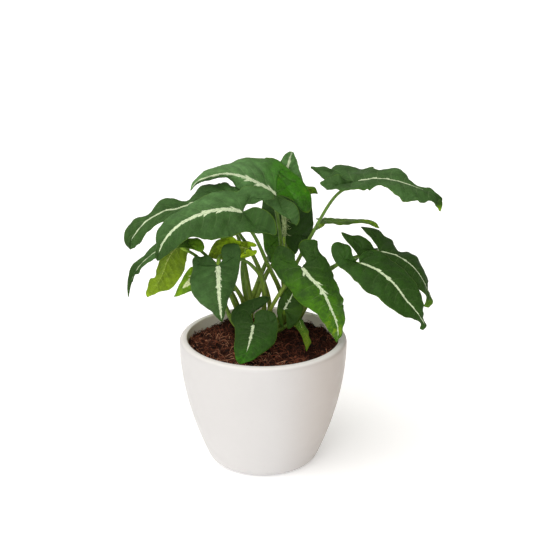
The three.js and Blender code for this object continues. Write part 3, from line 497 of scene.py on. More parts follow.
def crumbs():
    """Bark crumbs: each is a ball, pressed flat, stretched, made lumpy by a sine of its own, turned and
    half sunk in the soil. Gives points, squares and each point's shade."""
    centre, draw = scattered(CRUMBS, CRUMB_SEED)
    lat = np.linspace(-np.pi / 2, np.pi / 2, CRUMB_RINGS)
    lon = 2 * np.pi * np.arange(CRUMB_SIDES) / CRUMB_SIDES
    ball = np.stack([np.outer(np.cos(lat), np.cos(lon)), np.outer(np.cos(lat), np.sin(lon)),
                     np.outer(np.sin(lat), np.ones(CRUMB_SIDES))], axis=-1).reshape(-1, 3)
    size = MM * (CRUMB_RADIUS[0] + CRUMB_RADIUS[1] * draw.uniform(0, 1, CRUMBS) ** 3)
    stretch = np.stack([draw.uniform(*ends, CRUMBS) for ends in CRUMB_STRETCH], axis=1)
    wave = draw.uniform(-3, 3, (CRUMBS, 3))
    lumpy = 1 + CRUMB_LUMP * np.sin(ball @ wave.T * 1.7).T
    shape = ball[None] * lumpy[..., None] * (stretch * size[:, None])[:, None]
    axis = draw.normal(size=(CRUMBS, 3)) * (1, 1, 2)
    axis /= np.linalg.norm(axis, axis=1, keepdims=True)
    side = np.cross(axis, draw.normal(size=(CRUMBS, 3)))
    side /= np.linalg.norm(side, axis=1, keepdims=True)
    turn = np.stack([side, np.cross(axis, side), axis], axis=1)
    points = np.einsum("cpk,ckm->cpm", shape, turn) + centre[:, None]
    squares = copies(squares_of(CRUMB_RINGS, CRUMB_SIDES, closed=True), len(ball), CRUMBS)
    # Crumbs are paler where the soil is dry and darker in the painted shade at the right and back
    shade = draw.beta(1.1, 3.6, CRUMBS) * (0.6 + 0.8 * dryness_and_shade(*centre.T[:2]))
    return points.reshape(-1, 3), squares, np.repeat(shade, len(ball))


def strands(path, radius, sides):
    """Closed tubes along paths (count, steps, 3). Ring k is square to the path at its point k, as a circle
    in two directions: across the path's chord, and square to that. Its radius is given for each point of
    the ring. Where that radius is nothing at the first and last rings, they shrink to a point."""
    tangent = np.gradient(path, axis=1)
    tangent /= np.linalg.norm(tangent, axis=2, keepdims=True)
    across = np.cross(path[:, -1] - path[:, 0], np.array(NO_PATH))
    across = across[:, None] - tangent * np.sum(across[:, None] * tangent, axis=2, keepdims=True)
    across /= np.linalg.norm(across, axis=2, keepdims=True)
    other = np.cross(tangent, across)
    angle = 2 * np.pi * np.arange(sides) / sides
    ring = np.cos(angle)[:, None] * across[:, :, None] + np.sin(angle)[:, None] * other[:, :, None]
    points = path[:, :, None] + radius[..., None] * ring
    count, steps = path.shape[:2]
    return points.reshape(-1, 3), copies(squares_of(steps, sides, closed=True), steps * sides, count)


def fibres():
    """Coir fibres: each is a thin tube along an arc that bends sideways and lifts a little off the soil.
    Gives points, squares and each point's shade."""
    start, draw = scattered(FIBRES, FIBRE_SEED)
    steps = np.linspace(0, 1, FIBRE_STEPS)
    length = MM * draw.uniform(*FIBRE_LENGTH, FIBRES)
    heading = draw.uniform(0, 2 * np.pi, FIBRES)
    turn = draw.uniform(-FIBRE_BEND, FIBRE_BEND, FIBRES)
    angle = heading[:, None] + turn[:, None] * steps
    step = length[:, None] / (FIBRE_STEPS - 1)
    x = start[:, :1] + np.cumsum(step * np.cos(angle), axis=1)
    y = start[:, 1:2] + np.cumsum(step * np.sin(angle), axis=1)
    inside = np.minimum(1, (soil_edge - FIBRE_CLEAR) / np.hypot(x, y))
    x, y = x * inside, y * inside
    lift = MM * draw.uniform(*FIBRE_LIFT, FIBRES)[:, None] * np.sin(np.pi * steps) ** 2
    path = np.stack([x, y, bed_height(x, y) + FIBRE_ABOVE + lift], axis=2)
    path[:, 1:-1] = (path[:, :-2] + 2 * path[:, 1:-1] + path[:, 2:]) / 4
    thick = MM * draw.uniform(*FIBRE_RADIUS, FIBRES)[:, None] * np.array(FIBRE_TAPER)
    points, squares = strands(path, np.repeat(thick[..., None], FIBRE_SIDES, axis=2), FIBRE_SIDES)
    # Fibres are paler where the soil is dry and darker in the painted shade at the right and back
    shade = draw.beta(1.5, 1.3, FIBRES) * (0.5 + 0.65 * dryness_and_shade(*start.T[:2]))
    return points, squares, np.repeat(shade, FIBRE_STEPS * FIBRE_SIDES)


for name, (points, squares, shade) in (("soil_crumbs", crumbs()), ("soil_fibres", fibres())):
    sewn(name, points, squares, litter, {"shade": shade})

# The left shoot: a short stem in the soil, a narrow leaf and three yellow-green ones that lean out to the
# left, one seen on edge at the right, and three at the back. A blade is thin velvety leaf with a pale
# ragged stripe on its midrib, and grows from its stalk at the bottom of a deep notch.
CURVE_STEPS = 12
LOBE_ROWS = 28
HEART_ROWS = 5
# A lobe's heart: shares of the ways from the joint to the lobe's tip and to where its margin ends
HEART = (0.3, 0.4)
BLADE_ROWS = 76
HALF_COLUMNS = 15
LOBE_VEINS = 4
BLADE_VEINS = 8
VEIN_ARCH = 0.07
VEIN_SWEEP = 1.1
BLADE_ABOVE = 0.25 * MM
BLADE_BELOW = 0.2 * MM
USUAL_LENGTH = 75 * MM
# Depth and half width of the ridge under the midrib and of the groove over it
RIDGE = (1.1 * MM, 1.2 * MM)
GROOVE = (0.45 * MM, 1.3 * MM)
QUILT = 0.6 * MM
# Depth and breadth of the ripples, the buckles and the jags, and how closely each keeps to the margin
MARGIN = ((0.6 * MM, 5 * MM, 3), (1.4 * MM, 13 * MM, 1), (0.45 * MM, 4 * MM, 6))
# Where the margin's lumps are read, as x and y
MARGIN_START = (3, 2)
TONE_BLEND = 8 * MM
# Length on the flattened blade that counts as one where its noises are reckoned
UV_SIZE = 10 * MM
STRIPE_TAPER = 0.55
STALK_SEAT = 3.5 * MM
STALK_UNDER = 0.9 * MM
# How veined, how torn along its stripe and how olive a leaf is that doesn't say so
MARKS = {"veined": 1, "torn": 0.5, "olive": 0}
# One half of a flat arrowhead: shares of the midrib's length from the joint, and of the half width
ARROWHEAD = [
    (-0.06, 0.1), (-0.2, 0.2), (-0.36, 0.36), (-0.43, 0.6), (-0.36, 0.84), (-0.17, 0.98),
    (0.05, 1), (0.26, 0.93), (0.46, 0.78), (0.64, 0.57), (0.8, 0.33), (0.92, 0.12),
]
ARROWHEAD_TURN = 6
STALK_STEPS = 44
STALK_SIDES = 14
STALK_RADIUS = 1.55 * MM
STALK_OVAL = 0.12
SHEATH = 0.6 * MM
# Shares of a stalk where its sheath begins to end, and has ended
SHEATH_ENDS = (0.35, 0.85)
# Depth of the sheath's furrow as a share of its radius, and its half width as an angle
FURROW = (0.3, 0.5)
# Height of the swelling under the blade, its way from the stalk's end and its half length
SWELL = (0.4 * MM, 6 * MM, 4 * MM)
# How far from the stalk's end its pale joint is full, and how far from it that ends
JOINT = (3 * MM, 13 * MM)
STEM_RADIUS = 4.6 * MM
STEM_DEPTH = 22 * MM
STEM_RISE = 5 * MM
STEM_KNOTS = 5
KNOT_RISE = 0.06
# Heights over the soil where every stalk starts inside the stem, and goes on
STALK_START = (-3 * MM, 3 * MM)


def drawn(points):
    """Points drawn on the upright plane through the pot's axis, as x, depth behind the plane and z, carried
    along the line of sight to their real depth."""
    x, depth, z = (np.array(points, float) * MM).T
    share = -depth / EYE[1]
    return np.stack([x + (x - EYE[0]) * share, depth, z + (z - EYE[2]) * share], axis=1)


def smooth(points):
    """A curve through points in even steps to a span: a Catmull-Rom spline whose knots are apart by the
    square root of the distance."""
    ends = np.vstack([2 * points[0] - points[1], points, 2 * points[-1] - points[-2]])
    knots = [ends[i:len(ends) - 3 + i, None] for i in range(4)]
    times = [np.zeros((len(points) - 1, 1, 1))]
    for i in range(3):
        times.append(times[i] + np.sqrt(np.linalg.norm(knots[i + 1] - knots[i], axis=2, keepdims=True)))
    at = times[1] + (times[2] - times[1]) * (np.arange(CURVE_STEPS) / CURVE_STEPS)[None, :, None]

    def mix(early, late, start, end):
        return ((times[end] - at) * early + (at - times[start]) * late) / (times[end] - times[start])

    first, second, third = (mix(knots[i], knots[i + 1], i, i + 1) for i in range(3))
    spans = mix(mix(first, second, 0, 2), mix(second, third, 1, 3), 1, 2)
    return np.vstack([spans.reshape(-1, 3), points[-1:]])


def length_along(curve):
    """Length of a curve up to each of its points."""
    return np.r_[0, np.cumsum(np.linalg.norm(np.diff(curve, axis=0), axis=1))]


def at_share(curve, share):
    """Points of a curve at shares of its length."""
    length = length_along(curve)
    return np.stack([np.interp(share * length[-1], length, axis) for axis in curve.T], axis=1)


def unit(vectors):
    """Vectors at length one."""
    return vectors / np.maximum(np.linalg.norm(vectors, axis=-1, keepdims=True), 1e-12)


def bump_of(distance, half):
    """A smooth bump: 1 at no distance, e to the power of minus the square of distance by half, then 0."""
    return np.exp(-((distance / half) ** 2))


def ease(value, low, high):
    """0 below low, 1 above high, and an S curve between."""
    share = np.clip((value - low) / (high - low), 0, 1)
    return share * share * (3 - 2 * share)


def arrowhead(leaf):
    """A leaf at the back, as its midrib and two margins: the midrib is an arc in the upright plane of its
    heading, sloping from its first slope to its second, and each half of the arrowhead hangs from it."""
    heading, (start, end) = np.radians(leaf["heading"]), np.radians(leaf["slope"])
    ahead = np.array((np.cos(heading), np.sin(heading), 0))
    left, up = np.array((-np.sin(heading), np.cos(heading), 0)), np.array((0, 0, 1))
    length, half = leaf["length"] * MM, leaf["half"] * MM

    def rib_point(share):
        angle = start + (end - start) * share[:, None]
        forward = ahead * (np.sin(angle) - np.sin(start)) + up * (np.cos(start) - np.cos(angle))
        return np.array(leaf["joint"]) * MM + length * forward / (end - start)

    def margin(side):
        share, across = np.array(ARROWHEAD).T
        angle = start + (end - start) * share[:, None]
        normal = up * np.cos(angle) - ahead * np.sin(angle)
        hang = np.radians(leaf["fold"] + side * leaf["roll"])
        out = half * across[:, None]
        return rib_point(share) + side * out * np.cos(hang) * left - out * np.sin(hang) * normal

    return rib_point(np.linspace(0, 1, 5)), margin(1), margin(-1)


def blade_grid(rib, left, right, turn):
    """A blade as two grids, the left half and the right half. Rows are side veins: those of a lobe spread
    from a line that runs out from the joint to the lobe's heart and back, the others leave the midrib one
    after another, and all run straight to the margin and are arched upwards by a parabola. Columns run from
    the left margin to the midrib, and from the midrib to the right margin. Also gives each point's share
    across its half, its place on the flattened blade and its vein's number."""
    curve = smooth(rib)
    on_rib = np.linspace(0, 1, BLADE_ROWS + 1)
    row = np.arange(LOBE_ROWS)
    out_and_back = np.minimum(1, np.minimum(row, LOBE_ROWS - row) / HEART_ROWS)
    ahead = unit(np.gradient(at_share(curve, on_rib), axis=0))[0]
    share = np.linspace(0, 1, HALF_COLUMNS + 1)
    halves, places = [], []
    for side, margin, bend in ((1, left, turn[0]), (-1, right, turn[1])):
        edge = smooth(np.vstack([rib[:1], margin, rib[-1:]]))
        reached = length_along(edge)
        bent = (bend + 1) * CURVE_STEPS
        bend_share = reached[bent] / reached[-1]
        shares = np.r_[bend_share * row / LOBE_ROWS, bend_share + (1 - bend_share) * on_rib]
        reach = at_share(edge, shares)
        tip = edge[np.argmax(np.linalg.norm(edge[:bent] - rib[0], axis=1))]
        heart = HEART[0] * (tip - rib[0]) + HEART[1] * (reach[LOBE_ROWS] - rib[0])
        foot = np.vstack([rib[0] + out_and_back[:, None] * heart, at_share(curve, on_rib)])
        vein = reach - foot
        up = side * unit(np.cross(np.gradient(foot + vein / 2, axis=0), vein))
        arch = VEIN_ARCH * np.linalg.norm(vein, axis=1)[:, None] * 4 * share * (1 - share)
        flat = foot[:, None] + share[None, :, None] * vein[:, None]
        halves.append(flat + arch[..., None] * up[:, None])
        lobe_ahead = np.repeat(ahead[None], LOBE_ROWS, axis=0)
        forward = unit(np.vstack([lobe_ahead, np.gradient(foot[LOBE_ROWS:], axis=0)]))[:, None]
        nearest = np.vstack([np.repeat(rib[:1], LOBE_ROWS, axis=0), foot[LOBE_ROWS:]])
        from_nearest = flat - nearest[:, None]
        along = np.sum(from_nearest * forward, axis=2)
        away = np.linalg.norm(from_nearest - along[..., None] * forward, axis=2)
        from_joint = np.r_[np.zeros(LOBE_ROWS), on_rib * length_along(curve)[-1]]
        places.append(np.stack([side * away, along + from_joint[:, None]], axis=2))
    across = np.broadcast_to(share, flat.shape[:2])
    number = np.r_[LOBE_VEINS * row / LOBE_ROWS, LOBE_VEINS + BLADE_VEINS * on_rib]
    number = number[:, None] - VEIN_SWEEP * across**2
    pairs = (halves, (across, across), places, (number, number))
    return [np.stack([on_left[:, ::-1], on_right]) for on_left, on_right in pairs]


def point_normals(points, faces):
    """The mean direction of the faces round each point, larger faces counting more."""
    corner = points[faces]
    face = np.cross(corner[:, 1] - corner[:, 0], corner[:, 2] - corner[:, 0])
    total = np.zeros_like(points)
    for numbers in faces.T:
        np.add.at(total, numbers, face)
    return unit(total)


def markings(leaf, off, along, order):
    """Where a blade's colours lie, for points off the midrib and along it as a share of its length: the
    stripe's half width, which tapers from its start to its end, how fresh the blade is, and how much
    painted sheen it takes, a greyish green that stands in for the sheen of light on blades that face the
    light. Those blend from side to side, and towards the tip and the lobes. Below nothing, fresh gives
    painted sheen."""
    half, start, end = leaf["stripe"]
    here = np.clip((along - start) / (end - start), -0.1, 1)
    begun = np.clip((here + 0.02) / 0.04, 0, 1) ** 0.5
    stripe = half * MM * begun * (1 - STRIPE_TAPER * here) * (1 - here**8)
    on_left, on_right, on_tip, left_lobe, right_lobe, late = leaf["fresh"]
    lean = 0.5 + 0.5 * np.tanh(off / TONE_BLEND)
    fresh = on_right + (on_left - on_right) * lean
    fresh = fresh + (on_tip - fresh) * np.clip(along, 0, 1) ** late
    on_lobe = right_lobe + (left_lobe - right_lobe) * lean
    near = np.clip(1 - (order - LOBE_VEINS + 1) / LOBE_VEINS, 0, 1)
    painted_sheen = np.clip(-2 * fresh, 0, 1) * (1 - near) + np.clip(-2 * on_lobe, 0, 1) * near
    fresh = np.clip(fresh, 0, 1) * (1 - near) + np.clip(on_lobe, 0, 1) * near
    return {"stripe": np.where(order < LOBE_VEINS, 0, stripe), "fresh": fresh, "painted_sheen": painted_sheen}


def blade(name, leaf, seed):
    """A leaf blade: the grid's surface, quilted between its veins, grooved along the midrib and rippled,
    buckled and jagged at the margin, as the upper face, and a lower face below it that is thick under the
    midrib. Returns the point under the midrib where the stalk joins it."""
    outline = (drawn(leaf[part]) for part in ("rib", "left", "right")) if "rib" in leaf else arrowhead(leaf)
    rib, left, right = outline
    turn = leaf.get("turn", (ARROWHEAD_TURN, ARROWHEAD_TURN))
    grid, across, place, number = blade_grid(rib, left, right, turn)
    squares = squares_of(*grid.shape[1:3])
    first, same, faces = welded(grid.reshape(-1, 3), np.vstack([squares, squares + across[0].size]))
    vein = np.stack([grid[0, :, 0] - grid[0, :, -1], grid[1, :, -1] - grid[1, :, 0]])
    outward = np.broadcast_to(unit(vein)[:, :, None], grid.shape).reshape(-1, 3)[first]
    points, place = grid.reshape(-1, 3)[first], place.reshape(-1, 2)[first]
    across, number = across.reshape(-1)[first], number.reshape(-1)[first]
    off, along = place.T
    length = length_along(smooth(rib))[-1]
    size = length / USUAL_LENGTH
    share = np.clip(along / length, 0, 1)
    order = number + VEIN_SWEEP * across**2
    lobe = order < LOBE_VEINS
    from_rib = np.where(lobe, np.hypot(off, along), np.abs(off))
    quilt = QUILT * size * (np.sin(np.pi * number) ** 2 - 0.5) * np.minimum(1, 5 * across) * (1 - across**3)
    groove = -GROOVE[0] * bump_of(from_rib, GROOVE[1]) * (1 - share)
    crisp = leaf.get("crisp", 1) * size
    x, y = off + MARGIN_START[0], along + MARGIN_START[1]
    ripple, buckle, jag = (
        depth * crisp * across**power * lumps(x, y, breadth, seed + i)
        for i, (depth, breadth, power) in enumerate(MARGIN))
    rise = quilt + ripple + buckle + groove
    points = points + point_normals(points, faces) * rise[:, None] + outward * jag[:, None]
    up = point_normals(points, faces)
    ridge = RIDGE[0] * size * bump_of(from_rib, RIDGE[1]) * (1 - share) ** 0.8
    thin = 1 - 0.6 * across**4
    upper = points + up * (BLADE_ABOVE * thin)[:, None]
    lower = points - up * (BLADE_BELOW * thin + ridge)[:, None]
    count = len(points)
    margins = []
    for edge in (same.reshape(grid.shape[:3])[0, :, 0], same.reshape(grid.shape[:3])[1, ::-1, -1]):
        squares = np.stack([edge[:-1], edge[1:], edge[1:] + count, edge[:-1] + count], axis=1)
        margins.append(squares[edge[:-1] != edge[1:]])
    wall = np.vstack(margins)
    wall = np.concatenate([wall[:, [0, 1, 2]], wall[:, [0, 2, 3]]])
    every = np.vstack([faces, faces[:, ::-1] + count, wall])
    off_rib = np.where(lobe, np.copysign(from_rib, off), off)
    marks = {"off_rib": off_rib, "vein": number, "edge": across}
    marks.update(markings(leaf, off, along / length, order))
    marks.update({mark: np.full(count, leaf.get(mark, usual)) for mark, usual in MARKS.items()})
    piece("blade_" + name, np.vstack([upper, lower]), every, blade_skins[leaf["slot"]],
          {mark: np.tile(values, 2) for mark, values in marks.items()}, ["leaf_" + name],
          np.tile(place / UV_SIZE, (2, 1)), np.arange(len(every)) >= len(faces))
    seat = at_share(smooth(rib), np.array([STALK_SEAT / length]))[0]
    return seat - up[np.argmin(np.linalg.norm(points - seat, axis=1))] * STALK_UNDER


def shoot(name, foot, leaves):
    """A shoot's leaves, and one piece for its stem and stalks: tubes along curves from the stem to the
    joints of the blades. A stalk is a wide grooved sheath at its foot, slim and round above, and swollen
    under the blade."""
    x, y = np.array(foot) * MM
    level = float(soil_height(x, y))
    low = [(x, y, level + start) for start in STALK_START]
    share = np.linspace(0, 1, STALK_STEPS)
    paths = []
    for number, (leaf_name, leaf) in enumerate(leaves.items()):
        seat = blade(leaf_name, leaf, 10 * len(name) + number)
        paths.append(at_share(smooth(np.vstack([low, drawn(leaf["stalk"]), seat])), share))
    path = np.array(paths)
    left = (1 - share) * np.linalg.norm(np.diff(path, axis=1), axis=2).sum(axis=1)[:, None]
    sheath = 1 - ease(share, *SHEATH_ENDS)
    radius = STALK_RADIUS + SHEATH * sheath + SWELL[0] * bump_of(left - SWELL[1], SWELL[2])
    radius = radius * (0.4 + 0.6 * ease(left, -0.5 * MM, 4 * MM)) * (share > 0) * (share < 1)
    angle = 2 * np.pi * np.arange(STALK_SIDES) / STALK_SIDES
    furrow = FURROW[0] * sheath[:, None] * bump_of(angle - np.pi / 2, FURROW[1])
    oval = 1 + STALK_OVAL * np.cos(2 * angle)
    points, squares = strands(path, radius[..., None] * (oval - furrow), STALK_SIDES)
    stem_z = level - STEM_DEPTH + (STEM_DEPTH + STEM_RISE) * share
    stem = np.stack([np.full(STALK_STEPS, x), np.full(STALK_STEPS, y), stem_z], axis=1)[None]
    knots = 1 + KNOT_RISE * np.sin(2 * np.pi * share * STEM_KNOTS)
    stem_radius = STEM_RADIUS * np.sqrt(ease(share, -0.01, 0.1) * (1 - ease(share, 0.82, 1.0))) * knots
    stem_radius = np.repeat(stem_radius[None, :, None], STALK_SIDES, 2)
    stem_points, stem_squares = strands(stem, stem_radius, STALK_SIDES)
    squares = np.vstack([squares, stem_squares + len(points)])
    no_mark = np.zeros(len(stem_points))
    along = np.repeat(np.broadcast_to(share, left.shape), STALK_SIDES)
    joint = np.repeat(1 - ease(left, *JOINT), STALK_SIDES)
    marks = {"along": np.r_[along, no_mark], "joint": np.r_[joint, no_mark]}
    points = np.vstack([points, stem_points])
    sewn("stalks_" + name, points, squares, stalk_skin, marks, ["shoot_" + name])


# Ragged is the pale stripe on a midrib: as wide as Half says, torn along the side veins by noise that runs
# with the vein number, feathered out along a few of them, and streaked with green. Each side of the midrib
# is torn in its own way.
VEIN_SLANT = -0.13 / MM
SIDES_APART = 5.0
ragged, given, wanted = group(
    "ragged_stripe", {"Off": "Float", "Half": "Float", "Vein": "Float", "Place": "Vector", "Torn": "Float"},
    {"Mask": "Float"})
side = reckon(ragged, "MULTIPLY", reckon(ragged, "SIGN", given["Off"]), SIDES_APART)
away = reckon(ragged, "ABSOLUTE", given["Off"])
slanted = reckon(ragged, "MULTIPLY_ADD", away, VEIN_SLANT, given["Vein"])
along = node(ragged, "CombineXYZ", {"X": slanted, "Y": side}).outputs[0]
torn = spread(ragged, noise(ragged, along, 3.2, 5.0, 0.8), 0.3, 0.7, 0.5, 1.35)
feather = spread(ragged, noise(ragged, along, 2.1, 1.0), 0.62, 0.7, 0.0, 1.3)
torn = reckon(ragged, "MULTIPLY_ADD", feather, given["Torn"], torn)
depth = reckon(ragged, "SUBTRACT", reckon(ragged, "MULTIPLY", given["Half"], torn), away)
stretched = node(ragged, "Mapping", {"Vector": given["Place"], "Scale": (16, 2.2, 1)}).outputs[0]
streak = spread(ragged, noise(ragged, stretched, 1.0, 3.0), 0.36, 0.5, 0.45, 1.0)
whole = spread(ragged, depth, 0.1 * MM, 0.35 * MM)
feed(ragged, wanted, {"Mask": reckon(ragged, "MULTIPLY", whole, streak)})

# Net is the veins of a blade: side veins where the vein number is whole, and a fine net between them
VEIN_HALF = 0.055
NET_CELLS = 4.2
net, given, wanted = group(
    "leaf_net", {"Vein": "Float", "Place": "Vector", "Across": "Float"},
    {"Veins": "Float", "Mesh": "Float", "Height": "Float"})
line = spread(net, reckon(net, "PINGPONG", given["Vein"], 0.5), 0.0, VEIN_HALF, 1.0, 0.0)
line = reckon(net, "MULTIPLY", line, spread(net, given["Across"], 0.25, 0.85, 1.0, 0.0))
wobble = node(net, "TexNoise", {"Vector": given["Place"], "Scale": 1.6, "Detail": 2.0}).outputs["Color"]
bent = node(net, "VectorMath", {0: given["Place"], 1: toned(net, wobble, 0.35)}, operation="ADD").outputs[0]
cells = node(net, "TexVoronoi", {"Vector": bent, "Scale": NET_CELLS}, feature="DISTANCE_TO_EDGE")
mesh_line = spread(net, cells.outputs["Distance"], 0.0, 0.12, 1.0, 0.0)
height = reckon(net, "MULTIPLY_ADD", line, 0.6, reckon(net, "MULTIPLY", mesh_line, 0.4))
feed(net, wanted, {"Veins": line, "Mesh": mesh_line, "Height": height})


def blade_finish(name, greens, stripe, veined, relief, roughness, sheen):
    """A blade's skin: from deep through bright or olive to pale green by its freshness, and a greyish
    painted sheen over them, patchy, with paler veins and margin as strong as veined says, and the ragged
    stripe. The first of the greens is the painted sheen's colour. relief is 1 where the veins stand out and
    -1 where they are sunk."""
    material, tree, shader = finish_of(name, {
        "Roughness": roughness, "Specular IOR Level": 0.12,
        "Sheen Weight": sheen, "Sheen Roughness": 0.45, "Sheen Tint": (0.85, 1, 0.75, 1)})
    mark = {kind: node(tree, "Attribute", attribute_name=kind).outputs["Fac"]
            for kind in ("off_rib", "vein", "stripe", "fresh", "painted_sheen", "edge", *MARKS)}
    place = node(tree, "UVMap", uv_map="surface").outputs["UV"]
    veins = use(tree, net, {"Vein": mark["vein"], "Place": place, "Across": mark["edge"]})
    torn = use(tree, ragged, {
        "Off": mark["off_rib"], "Half": mark["stripe"], "Vein": mark["vein"], "Place": place,
        "Torn": mark["torn"]})["Mask"]
    patch = spread(tree, noise(tree, place, 0.9, 4.0, 0.6), 0.3, 0.7, 0.7, 1.3)
    mottle = spread(tree, noise(tree, place, 2.2, 3.0, 0.6), 0.3, 0.7, 0.86, 1.14)
    uneven = spread(tree, noise(tree, place, 0.7, 4.0, 0.65), 0.35, 0.65, 0.5, 1.5)
    tone = use(tree, clouds, {"Place": place, "Scale": 0.8, "Strength": 0.75})["Tone"]
    fresh = reckon(tree, "MULTIPLY", mark["fresh"], uneven)
    painted_sheen, deep, bright, olive, pale = (linear(*green) for green in greens)
    green = blended(tree, spread(tree, fresh, 0.0, 0.5), deep, blended(tree, mark["olive"], bright, olive))
    green = blended(tree, spread(tree, fresh, 0.5, 1.0), green, pale)
    # Painted sheen: a greyish green laid over the blade where it would catch the light's sheen
    green = blended(tree, reckon(tree, "MULTIPLY", mark["painted_sheen"], patch), green, painted_sheen)
    green = toned(tree, green, reckon(tree, "MULTIPLY", tone, mottle))
    fine = reckon(tree, "MULTIPLY", veins["Mesh"], 0.2)
    fine = reckon(tree, "MULTIPLY_ADD", veins["Veins"], 0.8, fine)
    seen = reckon(tree, "MULTIPLY", fine, reckon(tree, "MULTIPLY", mark["veined"], veined))
    green = blended(tree, seen, green, blended(tree, 0.5, pale, linear(*stripe)))
    green = blended(tree, spread(tree, mark["edge"], 0.95, 1.0, 0.0, 0.3), green, pale)
    rise = reckon(tree, "MULTIPLY", veins["Height"], relief)
    feed(tree, shader, {
        "Base Color": blended(tree, torn, green, linear(*stripe)),
        "Normal": raised(tree, rise, 0.8, 0.35 * MM)})
    return material


# The upper and the lower skin of an old and of a young leaf; the first green of each is its painted sheen
blade_skins = {
    "leaf": (
        blade_finish(
            "velvet_green", ((84, 124, 68), (36, 64, 16), (48, 104, 6), (70, 106, 8), (112, 146, 14)),
            (200, 214, 176), 0.08, -1.0, 0.55, 0.03),
        blade_finish(
            "green_underside", ((86, 112, 62), (70, 98, 42), (92, 124, 38), (108, 122, 52), (140, 165, 70)),
            (150, 172, 95), 0.35, 1.0, 0.7, 0.1)),
    # The young leaf's pale greens are brighter than the blade's own colour: partly its own yellow-green,
    # and partly painted light where the young blades lie in shade
    "young_leaf": (
        blade_finish(
            "young_green", ((66, 82, 12), (46, 88, 14), (108, 148, 12), (96, 118, 14), (212, 240, 40)),
            (222, 230, 175), 0.2, -1.0, 0.55, 0.08),
        blade_finish(
            "young_underside",
            ((70, 92, 30), (84, 108, 24), (108, 140, 20), (112, 126, 24), (160, 196, 30)),
            (170, 184, 100), 0.5, 1.0, 0.7, 0.08)),
}

stalk_skin, tree, shader = finish_of("stalk_skin", {"Roughness": 0.5, "Specular IOR Level": 0.25})
place = node(tree, "TexCoord").outputs["Object"]
stretched = node(tree, "Mapping", {"Vector": place, "Scale": (900, 900, 60)}).outputs[0]
streak = noise(tree, stretched, 1.0, 2.0)
along, joint = (node(tree, "Attribute", attribute_name=name).outputs["Fac"] for name in ("along", "joint"))
green = blended(tree, spread(tree, along, 0.1, 0.8), linear(116, 136, 46), linear(82, 112, 38))
green = blended(tree, reckon(tree, "MULTIPLY", joint, 0.8), green, linear(150, 186, 58))
feed(tree, shader, {
    "Base Color": toned(tree, green, spread(tree, streak, 0.3, 0.7, 0.75, 1.25)),
    "Normal": raised(tree, streak, 0.4, 0.2 * MM)})

